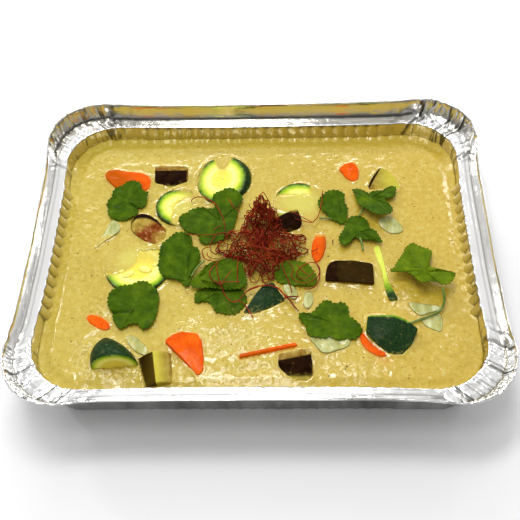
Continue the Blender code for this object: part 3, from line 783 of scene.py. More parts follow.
def carrot_piece(node, outline, thick, at, rise, golden=nothing, depth=from_top, **extra):
    notes = {"depth": depth, "golden": golden}
    slab(node, "carrot", carrot, outline, thick, at, rise, notes, **extra)

lobes = [(-12.4, 0.8), (-11, 2.6), (-6.6, 3.6), (-2, 2.2), (2.4, 1.8), (8.4, 0.8), (12.4, -2)]
lobes += [(13, -8), (10.6, -12.4), (7, -10.5), (1, -12), (-5, -9.6), (-8, -7), (-12.4, -2)]
carrot_piece(
    "carrot_back_left", lobes, 7, (-72.0, 50.4), 1.2, roll=2, seed=1, relief=0.25,
    golden=lambda p: held(0.45 - 0.085 * p.x - 0.09 * (p.y + 1), high=0.9),
)
facets = [(-6.4, 1.6), (-4.8, 3.8), (-1.2, 5.8), (2.2, 5.8), (4, 2.8), (4.4, -0.8), (3.8, -4.8)]
facets += [(2, -7), (-0.8, -6), (-3, -4), (-4.4, -1.2)]
carrot_piece(
    "carrot_back_right", facets, 6, (48.2, 50.2), 1.6, pitch=4, crown=0.8, taper=0.9, seed=2,
    depth=lambda p: from_edge(p, 0.5, 0.5, 6.2 - p.y + 0.35 * p.x),
)
stick = [(-3.6, -3), (-2.8, 4), (0, 9.2), (3.6, 8.8), (4.1, 3), (3.2, -2), (1.6, -6.4), (-1.6, -9)]
carrot_piece(
    "carrot_centre", stick, 6, (29.4, 0.2), 1.2, roll=-6, crown=0.6, seed=3,
    golden=lambda p: held(0.25 * (p.x - 0.4), high=0.7),
    depth=lambda p: from_edge(p, 0.45, 0.22, p.x + 4),
)
carrot_piece(
    "carrot_left", oval(6.6, 0.42), 5, (-76.6, -41.8), 0.9, turn=-30, pitch=7, seed=4,
    golden=lambda p: 0.8 if p.z < -1.2 else 0.0,
    depth=lambda p: 3.0 if p.z < -1.4 else from_edge(p, 0.9, 0.3, p.y + 2),
)
wedge = [(-9.4, 6.2), (-6, 9.6), (-1.8, 11.2), (5.6, 10.6), (8, 6.4), (9.2, -2), (9.4, -8), (7.2, -11)]
carrot_piece(
    "carrot_front_left", wedge, 7, (-34.2, -59.2), 2.0, pitch=2, roll=5, crown=0.7, seed=5,
    corner=0.7, depth=lambda p: from_edge(p, 0.45, 0.25, p.y + 1.04 * p.x + 3.5),
)
carrot_piece(
    "carrot_strip", arc(14, 180, 360, 18), 2.2, (4.9, -57.9), 1.3, turn=13, pitch=68, seed=6,
    golden=lambda p: 0.5 if p.x < 0 else 0.15,
    depth=lambda p: 1.1 - 0.4 * p.z if p.z > -1.2 else 3.0,
)
crescent = [(-5.6, 6.6), (-4.2, 6.8), (-2.6, 3.4), (0.6, -0.6), (3.8, -3.4), (5.8, -4.6), (4.8, -6)]
crescent += [(1.2, -5.4), (-2.4, -3.2), (-4.8, -0.2), (-6, 3.4)]
carrot_piece(
    "carrot_front_right", crescent, 4, (53.4, -54.8), 0.9, seed=7,
    depth=lambda p: 0.4 + 0.35 * max(0.0, 1.5 - 0.75 * p.x - 0.75 * p.y),
)
print("carrots:", len(SUNK))

# %% [markdown]
# ## Courgette
# A courgette slice is read from its skin inwards: a thin, almost black-green skin, a bright
# green line, pale flesh, and a yellower core with flat seeds. All four come from one ramp on the
# depth under the skin. The seeds are modelled separately and pressed into the core.

# %% Courgette material
DEEPEST = 16.0

courgette, mix, shader = new_material("courgette")
wobble = mix.ranged(mix.noise(mix.place(), 260, 2), 0.3, 0.7, -0.25, 0.25)
depth = mix.sums("ADD", mix.noted("depth"), wobble)
flesh = mix.ramped(mix.ranged(depth, 0.0, DEEPEST), (
    (0.0, (0.008, 0.026, 0.004)), (0.05, (0.02, 0.07, 0.003)), (0.10, (0.13, 0.29, 0.004)),
    (0.18, (0.42, 0.58, 0.018)), (0.29, (0.88, 0.93, 0.14)), (0.42, (0.98, 0.98, 0.30)),
    (0.56, (0.90, 0.78, 0.10)), (0.9, (0.88, 0.72, 0.08)),
))
cloud = mix.noise(mix.place(), 420, 4, 0.6)
flesh = mix.mixed(mix.ranged(cloud, 0.45, 0.75, 0, 0.22), flesh, (0.97, 0.97, 0.36))
skin = mix.ramped(mix.noise(mix.place(), 1100, 3, 0.7), (
    (0.35, (0.006, 0.020, 0.006)), (0.6, (0.016, 0.048, 0.010)), (0.75, (0.06, 0.14, 0.03)),
))
flesh = mix.mixed(mix.ranged(depth, 0.45, 0.1), flesh, skin)
wetted(mix, shader, flesh, Cream=0.22, Relief=0.00008, Gloss=0.36)
glossed(shader, 0.07, 0.02, 0.1)

# %% Courgette pieces
def courgette_piece(node, outline, thick, at, rise, depth, **extra):
    slab(node, "courgette", courgette, outline, thick, at, rise, {"depth": depth}, **extra)

def within(radius, squash=1.0):
    """Depth under the skin of a round slice."""
    return lambda point: max(0.0, radius - math.hypot(point.x, point.y / squash))

courgette_piece(
    "courgette_round_back", oval(13.6, 1.2, 48), 9, (-21.0, 45.6), 1.8, within(13.6, 1.2),
    pitch=-1, roll=-7, shift=(5.5, 3.4), count=128, seed=11,
)
courgette_piece(
    "courgette_round_small", oval(12.4, 1, 48), 7, (-42.4, 27.8), 0.8, within(12.4),
    pitch=-3, roll=6, seed=12,
)
courgette_piece(
    "courgette_half_back", oval(13.6, 1, 48), 7, (20.6, 28.6), 0.5, within(13.8),
    pitch=6, roll=3, seed=13,
)
courgette_piece(
    "courgette_round_left", oval(16.8, 1, 56), 8, (-60.6, -9.0), 0.5, within(16.8),
    pitch=-5, count=128, seed=14,
)
print("with the round slices:", len(SUNK))

# %% Courgette chunks that show their skin
def under_skin_top(point):
    """A chunk that lies skin side up: the depth grows down its cut sides."""
    return max(0.0, -point.z - 0.15)

def skin_in_front(point):
    """A thin slice on edge: skin at its front end, flesh behind."""
    return held(0.35 * (point.y + 14.4), high=4.0) if point.z > -0.6 else 1.6

def lime_behind(point):
    """Skin on top, with the pale edge of the cut showing along the back."""
    behind = point.y - 9.0 + 0.42 * max(0.0, point.x - 1.2)
    return max(under_skin_top(point), 1.6 if behind > -0.1 else 0.0)

chunk = [(-10.2, -7.6), (-5, 1), (0, 7.4), (4.8, 8.2), (7, 4), (10.4, -0.6), (6, -3.4), (-5, -8.4)]
courgette_piece(
    "courgette_chunk_centre", chunk, 7, (2.6, -29.8), 2, under_skin_top,
    pitch=15, roll=4, crown=0.6, seed=15, corner=0.6,
)
ribbon = [(-3.8, 15), (-0.6, 16), (1.2, 4), (2.0, -2), (2.8, -11), (6.4, -16.4), (2, -17)]
ribbon += [(0.4, -10), (-0.4, 1)]
courgette_piece(
    "courgette_strip_right", ribbon, 2, (60.6, -14), 0.8, skin_in_front,
    roll=-8, seed=16, corner=0.7,
)
chunk = [(-10.6, 9.6), (1.2, 10.0), (7.4, 7.4), (12.4, 3.2), (9.4, -3.6), (4.4, -9.2)]
chunk += [(-1.4, -8.6), (-6.6, -4), (-11.6, 1.6)]
courgette_piece(
    "courgette_chunk_right", chunk, 8, (61.8, -51.4), 3.4, lime_behind,
    pitch=20, crown=1.2, seed=17, corner=0.6,
)

# %% [markdown]
# ## Chunks that stand on their cut end
# An end piece shows its section from the front and narrows towards the back. Turning a slab on
# edge would put the softened edge in the wrong place, so here the section is the loop, and the
# rings run backwards from the front face.

# %% Pieces that run from a front section to a back one
LOAF_POINTS = 84

def loaf(
    node, slot, material, front, length, at, notes, narrow, back_shift=0, seed=0, corner=0.9, **lie,
):
    """Runs a front section back over a length, narrowed by a function of 0 in front to 1."""
    section, middle = even_loop(front, corner, LOAF_POINTS)

    def ring(along, share):
        wide, high = narrow(along)
        points = []
        for point in section:
            flat = middle + (point - middle) * share
            flat = Vector((flat.x * wide + back_shift * along, flat.y * high if flat.y > 0 else flat.y))
            y = -length / 2 + length * along
            uneven = 0.12 * noise.noise(Vector((flat.x * 0.3, y * 0.3, seed)))
            points.append(Vector((flat.x, y, flat.y + uneven)))
        return points

    rings = [ring(0, s) for s in (0.1, 0.3, 0.5, 0.7, 0.84, 0.93)]
    rings += [ring(0.01, 0.985), ring(0.035, 1.0)]
    rings += [ring(s, 1.0) for s in (0.12, 0.24, 0.36, 0.48, 0.6, 0.7, 0.8, 0.88, 0.94, 0.98)]
    rings += [ring(0.995, 0.9), ring(1.0, 0.6), ring(1.0, 0.2)]
    bm = bmesh.new()
    extruded_through(bm, rings)
    finished(node, bm, setting(at, 0, **lie), material, notes)

def domed(along):
    """The skin closes towards a blunt point."""
    share = max(0.0, 1 - along**2.2)
    return 0.24 + 0.76 * share, 0.3 + 0.7 * share

def under_dome(point):
    """Depth under the domed skin, seen on the flat front face."""
    if point.y > -7.0:
        return 0.0
    return 1.1 + 1.5 * max(0.0, 10.9 - math.hypot(point.x, point.z / 0.98))

dome = arc(10.9, 0, 180, 24, 0.98) + [(-10.4, -6), (10.4, -6)]
loaf(
    "courgette_wedge_left", "courgette", courgette, dome, 14.6, (-66.4, -58.3),
    {"depth": under_dome}, domed, turn=5, pitch=-3, back_shift=-4.6, seed=18,
)
print("with all the courgettes:", len(SUNK))

# %% [markdown]
# ## Aubergine
# Aubergine skin is nearly black with a purple-brown sheen, and its cooked flesh is a soft, wet
# beige that browns and soaks up the sauce. The same depth attribute says where the skin ends.

# %% Aubergine material
aubergine, mix, shader = new_material("aubergine")
flesh = mix.ramped(mix.noise(mix.place(), 330, 4, 0.6), (
    (0.3, (0.20, 0.10, 0.014)), (0.5, (0.36, 0.22, 0.04)), (0.7, (0.55, 0.42, 0.12)),
))
flesh = mix.mixed(mix.noted("green"), flesh, (0.66, 0.58, 0.07))
rust = mix.ramped(mix.noise(mix.place(), 480, 4, 0.65), (
    (0.35, (0.11, 0.018, 0.003)), (0.55, (0.25, 0.055, 0.007)), (0.7, (0.62, 0.42, 0.20)),
))
flesh = mix.mixed(mix.noted("rust"), flesh, rust)
skin = mix.ramped(mix.noise(mix.place(), 260), (
    (0.35, (0.008, 0.0026, 0.0008)), (0.65, (0.024, 0.0075, 0.0016)),
))
skin = mix.mixed(mix.noted("olive"), skin, (0.075, 0.048, 0.004))
colour = mix.mixed(mix.ranged(mix.noted("depth"), 0.1, 0.6), skin, flesh)
wetted(mix, shader, colour, Cream=0.14, Relief=0.00005, Gloss=0.5)
glossed(shader, 0.02)

# %% Where a piece of aubergine shows its skin
def aubergine_piece(
    node, outline, thick, at, rise, depth, green=nothing, olive=nothing, rust=nothing, **extra,
):
    notes = {"depth": depth, "green": green, "olive": olive, "rust": rust}
    slab(node, "aubergine", aubergine, outline, thick, at, rise, notes, **extra)

def browned_depth(point):
    """Flesh in the middle of the upper face, and skin that shows round its left end."""
    if point.x > 5:
        return 3.0
    return max(0.0, 4.5 * (1 - math.hypot((point.x - 1.0) / 11.0, (point.y + 1.4) / 8.0)) - 0.4)

def cut_behind(start, slope, end):
    """Skin in front, flesh behind a slanted line, and flesh again past the right end."""
    return lambda p: max(0.0, p.y - start - slope * p.x, 2 * (p.x - end))

# %% Aubergine pieces
pentagon = [(-8.8, 6.6), (8.6, 6.4), (9, -1.6), (0, -6.2), (-8.8, -2.4)]
aubergine_piece(
    "aubergine_back_left", pentagon, 8, (-48.2, 46.6), 2.2, cut_behind(3.7, 0, 8.4),
    rust=lambda p: 0.6 if 4.2 < p.y < 5.4 and p.x < -2 else 0.0,
    pitch=24, crown=0.4, seed=21, corner=0.5, relief=0.04,
)
bean = [(-9.8, 0.4), (-9, 4.8), (-4.4, 7.2), (2.4, 7.0), (9, 5.0), (11.6, 0.6), (10.4, -4.2)]
bean += [(4.8, -6.8), (-3.6, -6.6), (-8.6, -3.8)]
aubergine_piece(
    "aubergine_left", bean, 8, (-58.0, 13.4), 1.7, browned_depth, green=lambda p: 0.15,
    rust=lambda p: held(0.22 * (p.x + 3.6 - 0.3 * p.y)),
    turn=-36, roll=7, crown=0.5, seed=22, relief=0.4,
)
chunk = [(-7, 0.6), (-3, 3.4), (4.8, 6.8), (7.2, 0.4), (6.6, -3.4), (1, -6.4), (-5, -5.6)]
aubergine_piece(
    "aubergine_centre", chunk, 8, (14.4, 16.6), 2.6, nothing,
    pitch=18, crown=0.5, seed=23, corner=0.7,
)
outline = [(-12, -0.6), (-11.2, 3.2), (-9.8, 5.4), (-6.6, 6.6), (2, 6.4), (10.8, 4.8), (11.4, 4)]
outline += [(11.4, -6.4), (10.6, -6.8), (0, -5.6), (-12.4, -4.6)]
aubergine_piece(
    "aubergine_slab_right", outline, 8, (44.6, -15.4), 2.8, lambda p: max(0.0, -p.z - 0.6) * 0.8,
    olive=lambda p: 0.25 if p.x > -6 else 0.0, pitch=5, crown=0.5, seed=24, corner=0.7,
)
quarter = [(-7.8, 4.6), (-7.4, 5.4), (6.8, 8.2), (8.4, -4.6), (6, -6.6), (1.2, -7), (-3.8, -4.8)]
quarter += [(-7.8, 0)]
aubergine_piece(
    "aubergine_front", quarter, 8, (17.2, -65.8), 2.0, cut_behind(3.6, 0.2, 7.6),
    pitch=20, crown=0.3, seed=25, corner=0.6,
)
flesh_side = [(-8.8, -5.4), (-6.6, 0.4), (-2.4, 6.2), (-0.6, 7), (2.6, 5), (6.4, 1), (9.4, -5), (2, -6)]
aubergine_piece(
    "aubergine_back_right", flesh_side, 7, (65.2, 43.0), 2.6,
    lambda p: max(0.0, 0.86 * (p.x + 8.8) - 0.50 * (p.y + 5.4) - 0.2),
    green=lambda p: held(0.35 + 0.11 * (p.x + 3)), pitch=26, seed=26,
)
section = [(-9.2, -8), (-9.4, -2.2), (-0.4, 6.2), (3.0, 5.6), (7.0, 1), (7.8, -3), (7.8, -8)]
loaf(
    "aubergine_front_left", "aubergine", aubergine, section, 15.4, (-46.4, -67.0),
    {
        "depth": lambda p: max(0.0, p.x + 0.8), "green": lambda p: held(1.0 - 0.12 * (p.x + 1)),
        "olive": lambda p: held(0.9 + 0.12 * (p.x + 2) - 0.04 * p.y), "rust": nothing,
    },
    lambda along: (1.0, 1.0 - 0.12 * abs(along - 0.5)), turn=10, pitch=8, seed=27, corner=1.4,
)
print("with the aubergines:", len(SUNK))

# %% [markdown]
# ## Onion
# Softened onion is glassy: pale green-white, nearly clear at its thin edge, with the sauce
# showing through. The base colour already holds the sauce behind it, and a little subsurface
# light softens it.

# %% Onion material
onion, mix, shader = new_material("onion")
veil = mix.noise(mix.place(), 260, stretch=(1, 0.4, 1))
colour = mix.ramped(veil, (
    (0.3, (0.33, 0.35, 0.10)), (0.5, (0.48, 0.50, 0.20)), (0.7, (0.72, 0.75, 0.43)),
))
wetted(mix, shader, colour, Cream=0.5, Relief=0.00008, Gloss=0.14)
glossed(shader, 0.2, 0.2, 0.05)
shader.inputs["Subsurface Weight"].default_value = 0.15
shader.inputs["Subsurface Radius"].default_value = (0.002, 0.002, 0.001)

# %% Onion pieces
def onion_piece(node, outline, thick, at, rise, **extra):
    slab(node, "onion", onion, outline, thick, at, rise, {}, relief=0.3, count=64, **extra)

petal = [(0.6, 9.2), (3.2, 8.4), (5.4, 4.6), (5.6, 1.4), (2.2, -1.6), (-2.2, -4.8), (-6.8, -9.6)]
petal += [(-4.6, -4.4), (-1.8, 2.4)]
onion_piece("onion_left", petal, 1.8, (-77.8, 10.4), 1.3, roll=-4, seed=31)
shard = [(-7.2, 3), (-3.6, 4.6), (0.6, 4.4), (3.2, 2.2), (4.8, -1.4), (5.6, -4.4), (2.6, -6)]
shard += [(-1, -6), (-4, -4), (-6.4, -0.6)]
onion_piece("onion_right", shard, 1.8, (67.6, 15.0), 1.0, seed=32)
onion_piece("onion_front_left", oval(7.0, 0.38), 1.6, (-56.8, -54.0), 0.7, turn=-44, seed=33)
onion_piece("onion_centre", oval(5.0, 0.56), 1.6, (15.4, -25.0), 1.2, turn=-62, seed=34)
onion_piece("onion_small", oval(4.8, 0.5), 1.6, (23.8, -30.0), 1.0, turn=82, seed=35)
fan = [(-10, 3.4), (-8.4, 0.4), (-5.4, -4), (-2.6, -6), (1.6, -4.6), (8, -2.4), (9.8, 0.2), (8.4, 3.4)]
onion_piece("onion_under_leaf", fan, 1.8, (33.6, -53.2), 1.0, seed=36)
upper = [(-8, 3.6), (-3, 3.2), (1, 2.2), (7.2, 1.6), (7.8, -0.8), (1.6, -2.4), (-2.4, -4.2), (-5, -2)]
onion_piece("onion_front_right", upper, 1.6, (79, -35.4), 1.0, seed=37)
lower = [(-5.8, 1.4), (-1, 2.4), (4.2, 4.6), (4.8, -1), (3.6, -6.8), (-1.4, -4.6), (-5, -1.6)]
onion_piece("onion_corner", lower, 1.6, (82, -41.6), 0.8, seed=38)
print("all sunk vegetables:", len(SUNK))

# %% [markdown]
# ## Seeds
# The soft seeds of a courgette are flat ovals, pale and a little glassy, in two or three rows
# round the core. They are small spheres, flattened and half sunk into the cut face.

# %% Seeds, as (x, y, turn, size) on the face of each slice
SEEDS = {
    "courgette_round_left": (
        (-4.4, -5.6, 30, 1.7), (3.6, -2.6, -20, 1.9), (0.4, -10.5, 90, 0.8),
        (7.2, -7, -40, 0.9), (-8, -3.5, 20, 0.8), (8, 0, 10, 0.9),
    ),
    "courgette_round_back": (
        (-3, 2, 80, 0.6), (0.5, 0.5, 60, 0.6), (3.4, 1.5, 100, 0.6), (-4.6, -3, 70, 0.6),
        (-1.2, -4, 95, 0.6), (2.4, -3.4, 110, 0.6), (5.2, -5, 120, 0.6), (0.8, -8, 90, 0.6),
        (4.2, -9, 100, 0.6), (-3.6, -8, 80, 0.6),
    ),
    "courgette_round_small": (
        (-3, 3.2, 20, 0.8), (-0.4, 5, 0, 0.8), (-5, 0.4, 60, 0.7), (-2, -1, 30, 0.7),
    ),
}
bm = bmesh.new()
for node, places in SEEDS.items():
    for x, y, turn, size in places:
        ball = bmesh.ops.create_uvsphere(bm, u_segments=12, v_segments=6, radius=1.0)["verts"]
        shape = (
            LAID[node]
            @ Matrix.Translation((x, y, -0.1))
            @ Matrix.Rotation(math.radians(turn), 4, "Z")
            @ Matrix.Diagonal((2.0 * size, 1.25 * size, 0.45 * size, 1))
        )
        bmesh.ops.transform(bm, matrix=Matrix.Scale(MM, 4) @ shape, verts=ball)
seeds = plain_object("soft_seeds", bm)
pale_seed, mix, shader = new_material("courgette_seed")
husk = mix.ramped(mix.noise(mix.place(), 600), ((0.3, (0.80, 0.66, 0.07)), (0.7, (0.95, 0.88, 0.22))))
wetted(mix, shader, husk, Cream=0.15, Gloss=0.2)
seeds.data.materials.append(pale_seed)
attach(seeds, "root")
print("seeds:", sum(len(places) for places in SEEDS.values()))

# %% [markdown]
# ## Sauce
# The real sauce is a thick cream that lies nearly level, creeps a little way up the walls and up
# every piece that stands in it, and keeps soft lumps where it was spooned. A fluid simulation
# would settle flat. Here the surface is a grid whose points are lifted by what is near them. The
# first thing to find is the line where each piece breaks the surface.

# %% Waterlines: where the sunk pieces break the surface
SHORE_STEP = 0.5
OVERHEAD = 60.0  # higher than any piece

def waterline(shape):
    """Points about SHORE_STEP apart, in millimetres, where a piece crosses the sauce's level."""
    height = Vector((0, 0, (LEVEL + 0.05) * MM))
    everything = shape.verts[:] + shape.edges[:] + shape.faces[:]
    found = bmesh.ops.bisect_plane(
        shape, geom=everything, dist=1e-7, plane_co=height, plane_no=(0, 0, 1)
    )
    points = []
    for edge in found["geom_cut"]:
        if isinstance(edge, bmesh.types.BMEdge):
            a, b = (v.co / MM for v in edge.verts)
            steps = max(1, int((b - a).length / SHORE_STEP))
            points += [a.lerp(b, i / steps).xy for i in range(steps)]
    return points

def tree_of(points):
    """The points in a tree that finds the nearest one quickly."""
    tree = kdtree.KDTree(len(points))
    for index, point in enumerate(points):
        tree.insert((point.x, point.y, 0), index)
    tree.balance()
    return tree

shore, shore_rise, carrot_shore, rooms = [], [], [], []
for piece in SUNK:
    shape = bmesh.new()
    shape.from_mesh(piece.data)
    top = max(v.co.z for v in shape.verts) / MM - LEVEL
    rooms.append(BVHTree.FromBMesh(shape))
    line = waterline(shape)
    shape.free()
    shore += line
    shore_rise += [top] * len(line)
    if piece.name.startswith("carrot"):
        carrot_shore += line
shore_tree, carrot_tree = tree_of(shore), tree_of(carrot_shore)

def piece_top(x, y):
    """The height of a sunk piece over the sauce's level at a place, or None beside them all."""
    above = Vector((x * MM, y * MM, OVERHEAD * MM))
    hits = (room.ray_cast(above, Vector((0, 0, -1)))[0] for room in rooms)
    return max((hit.z / MM - LEVEL for hit in hits if hit is not None), default=None)

print("sunk pieces:", len(SUNK), "waterline points:", len(shore))

# %% [markdown]
# ## The height of the sauce
# The surface is a sum of small things that are each easy to see in the pot: broad waves, lumps
# where the spoon went, a rim that clings to the foil and a dip beside it, a collar round every
# piece, and a few places where sauce has run over a slice. The last two need the waterlines.

# %% Waves, lumps and the wall
def rounded_distance(x, y, half_x, half_y, corner):
    """Distance in millimetres to a rounded rectangle's edge, negative inside it."""
    away = Vector((max(abs(x) - half_x + corner, 0), max(abs(y) - half_y + corner, 0)))
    inner = min(max(abs(x) - half_x + corner, abs(y) - half_y + corner), 0)
    return away.length + inner - corner

def lumpy(x, y, size, seed):
    return noise.noise(Vector((x / size, y / size, seed)))

def spot(x, y, at_x, at_y, wide, deep):
    """How far a place lies from the middle of an oval spot: 1 at its edge."""
    return math.hypot((x - at_x) / wide, (y - at_y) / deep)

def strongest(x, y, spots, power, least=0.0):
    """The strongest spot at a place. A higher power gives the spots a flatter top."""
    return max(least, *(s * math.exp(-(spot(x, y, *where) ** power)) for *where, s in spots))

# Where the surface is churned up, as (x, y, half width, half depth, strength).
CHURNED = (
    (-12, -52, 20, 9, 1.0), (-66, -68, 22, 6, 1.0), (-80, -58, 7, 10, 1.0), (48, -66, 16, 5, 0.7),
    (-30, -45, 12, 8, 0.6), (68, -28, 14, 9, 0.6), (-28, 33, 14, 8, 0.5), (62, 30, 14, 12, 0.4),
    (-70, 57, 18, 3, 0.35), (20, -28, 12, 6, 0.5), (0, -66, 30, 6, 0.7), (-90, 0, 8, 50, 0.35),
    (-72, -34, 8, 6, 0.8), (-30, -74, 20, 3, 0.9), (30, -63, 10, 5, 0.8), (90, -50, 6, 12, 0.6),
)

def churned(x, y):
    """Near 0 where the sauce lies smooth, up to 1 where the spoon left it rough."""
    return strongest(x, y, CHURNED, 2, 0.15 + 0.12 * lumpy(x, y, 25, 7.0))

POOL = (102.2, 77.2, 22.5)  # half the width, half the depth and the corner of the pool

def eased(share):
    """A share from 0 to 1 with a soft start and a soft end."""
    return share * share * (3 - 2 * share)

def at_the_wall(x, y):
    """What the foil does to the surface: a rim that clings, a dip beside it, ribs at the back."""
    wall = -rounded_distance(x, y, *POOL)
    rim = (0.45 + 0.3 * lumpy(x, y, 3.0, 9.0)) * math.exp(-max(wall, 0) / 1.1)
    back = held((y - 50) / 20)
    slope = held(1 - (wall + 0.9 * lumpy(x, y, 7, 13.0)) / (7 + 2 * back))
    dip = 1.5 + 1.3 * back - 0.6 * held((x - 60) / 30)
    if y <= 40:
        return rim - dip * eased(slope)
    ribs = 0.75 + 0.6 * lumpy(x, y, 6.0, 11.0) + 0.3 * math.cos(2 * math.pi * x / FLUTE_PITCH)
    climb = eased(held(1 - wall / 2.6)) * min(1.0, (y - 40) / 15)
    return rim - dip * eased(slope) + ribs * climb

def open_height(x, y):
    """Height over the sauce's level, in millimetres, where no piece is near."""
    waves = 0.32 * lumpy(x, y, 30, 1.0) + 0.12 * lumpy(x, y, 11, 2.0) + 0.03 * lumpy(x, y, 2.6, 2.5)
    lumps = 0.9 * lumpy(x, y, 4.6, 3.0) + 0.55 * lumpy(x, y, 2.0, 4.0)
    return waves + churned(x, y) * lumps + at_the_wall(x, y)

# %% Collars, and sauce over the pieces
# Where sauce has run over a sunk piece, as (x, y, half width, half depth).
COVERS = (
    (-20.8, 62, 4.2, 9.5), (-36.3, 22.5, 9.5, 12.5), (15, 28.4, 10.5, 6.2), (24.5, 28.2, 7.5, 6.5),
    (32.6, 36, 6, 10), (-74.4, -3, 12.8, 11.6),
)

def covered(x, y):
    """1 where sauce lies over the pieces, falling to 0 past the edge of the run."""
    ragged = 0.12 * lumpy(x, y, 3.0, 8.0)
    return held((1.12 + ragged - min(spot(x, y, *where) for where in COVERS)) / 0.3)

def sauce_height(x, y):
    """Height over the sauce's level, in millimetres, with all that the pieces do to it."""
    rise = open_height(x, y)
    _, index, near = shore_tree.find((x, y, 0))
    top = piece_top(x, y) if near < 20 else None
    high = held(0.3 * shore_rise[index], 0.15)
    collar = high * (0.5 + 0.8 * lumpy(x, y, 4, 5.0)) * math.exp(-((near / 1.3) ** 2))
    if top is None or top < -0.4:
        return rise + collar + 0.18 * high * math.exp(-((near / 4.5) ** 2))
    under = min(rise + collar, top - 0.9 * min(1.0, near / 1.1))
    over = covered(x, y)
    if over == 0:
        return under
    return max(rise, under, top - 0.3 + 0.55 * over + 0.08 * lumpy(x, y, 3, 6.0) * over)

print("height in the middle:", round(sauce_height(0, 0), 2), "mm")

# %% [markdown]
# ## Building the sauce
# The pool has to meet the foil along every flute, yet be even in the middle. So its rim is a loop
# with the tray's own columns, stepped inwards until the flutes have gone, and its middle is a
# grid, cut to the same outline. The gap between them is filled with triangles. The sides then go
# down the wall and close under the food.

# %% Build the sauce
SAUCE_STEP = 0.62
GRID_SIZE = (206.0, 156.0)
SEAM = 5.4  # the grid ends this far inside the wall
EDGE = LEVEL - 2.0  # the sauce meets the foil about here, lower than in the middle
EDGE_OFFSET, EDGE_CORNER, _, _ = wall_line(EDGE, 0)

def along_foil(loop, row, out):
    """Sets a loop of the sauce against the crumpled foil, out millimetres beyond it."""
    offset, corner, z, flute = row
    shaped(loop, (offset + out, corner + out, z, flute, 0, 0.45, 0))

bm = bmesh.new()
wall_loop = bmesh.ops.create_circle(bm, segments=len(COLUMNS), radius=1.0)["verts"]
along_foil(wall_loop, wall_line(EDGE, flute_at(EDGE)), 0.05)
wall_edges = list(bm.edges)
loop, rim_edges = wall_loop, wall_edges
for inset, flute in ((0.5, 2.3), (1.4, 1.2), (2.6, 0.0)):
    loop, rim_edges = grown(bm, loop, rim_edges)
    offset = EDGE_OFFSET - inset - (2.9 - flute) * 0.64
    for vertex, column in zip(loop, COLUMNS):
        flat = tray_point(column, offset, EDGE_CORNER - inset, flute)
        vertex.co = Vector((flat.x, flat.y, EDGE)) * MM
print("columns round the pool:", len(loop))

# %% Fill the middle
steps = [round(side / SAUCE_STEP) for side in GRID_SIZE]
patch = bmesh.ops.create_grid(bm, x_segments=steps[0], y_segments=steps[1], size=0.5)["verts"]
bmesh.ops.scale(bm, verts=patch, vec=(GRID_SIZE[0] * MM, GRID_SIZE[1] * MM, 1))
bmesh.ops.translate(bm, verts=patch, vec=(0, 0, LEVEL * MM))
half = [side / 2 + EDGE_OFFSET for side in OPENING]
beyond = [v for v in patch if rounded_distance(v.co.x / MM, v.co.y / MM, *half, EDGE_CORNER) > -SEAM]
bmesh.ops.delete(bm, geom=beyond, context="VERTS")
rims = {*wall_edges, *rim_edges}
seam_edges = [e for e in bm.edges if e.is_boundary and e not in rims] + rim_edges
bmesh.ops.triangle_fill(bm, use_beauty=True, edges=seam_edges, normal=(0, 0, 1))
for vertex in bm.verts:
    vertex.co.z = (LEVEL + sauce_height(vertex.co.x / MM, vertex.co.y / MM)) * MM
print("surface faces:", len(bm.faces))

# %% Take the sides down the wall and close the bottom
loop, edges = wall_loop, wall_edges
for row in (*(wall_line(z, flute_at(z)) for z in (20, 12, 2.6)), (-6.4, 12, 0.9, 0)):
    loop, edges = grown(bm, loop, edges)
    along_foil(loop, row, -0.3)
bmesh.ops.contextual_create(bm, geom=edges)
bmesh.ops.recalc_face_normals(bm, faces=bm.faces)
sauce = plain_object("sauce_pool", bm)
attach(sauce, "root")
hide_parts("sauce")
print("sauce faces:", len(sauce.data.polygons))

# %% [markdown]
# ## Thin sauce over the pieces
# Past the edge of a run the sauce is only a film: too thin to model, but it still turns a slice
# yellow. Each sunk piece notes how much film lies on each of its points, and the wet_food group
# mixes the cream in by that. The sauce notes what shows through it in the same way.

# %% Films over the pieces
# Runs of sauce too thin to stand up, as (x, y, half width, half depth, share).
THIN_RUNS = (
    (-49.6, 7.6, 4.5, 4, 0.6), (31.4, 9.4, 4, 2.0, 0.9), (-20.6, 52, 3.5, 4, 0.4),
    (17, -73, 8, 2.5, 0.5),
)

def run_over(x, y):
    """How much sauce hides a piece at a place, thinning out past the runs that stand up."""
    ragged = 0.6 * lumpy(x, y, 3, 8.5)
    shares = [share * min(1.0, 1.6 - spot(x, y, *where)) for *where, share in THIN_RUNS]
    for at_x, at_y, wide, deep in COVERS:
        past = (spot(x, y, at_x, at_y, wide, deep) - 1) * math.sqrt(wide * deep)
        shares.append(1 - max(0.0, past + ragged) / 2.2)
    return held(max(shares)) ** 1.3

def note_on(piece, name, fill):
    """Notes a function of each point's place, in millimetres, on a piece."""
    write_note(piece, name, [fill(v.co.x / MM, v.co.y / MM) for v in piece.data.vertices])

for piece in SUNK:
    note_on(piece, "run", run_over)
print("pieces that note a film:", len(SUNK))

# %% What shows through the sauce
def stained(x, y):
    """Share of carrot orange in the sauce at a place."""
    _, _, near = carrot_tree.find((x, y, 0))
    smear = math.exp(-(spot(x, y, 58, -62.5, 3.5, 2.5) ** 2))
    return min(0.6, 0.3 * math.exp(-((near / 0.9) ** 2)) + 0.25 * smear)

# Pale courgette and onion under a thin film, as (x, y, half width, half depth, share).
PALE_SHOW_THROUGH = (
    (21, 30, 12, 8, 0.8), (-42, 27, 7, 8, 0.6), (-61, -5, 11, 8, 0.6), (-50, 8, 4, 4, 0.3),
    (60, -14, 3, 14, 0.4),
)

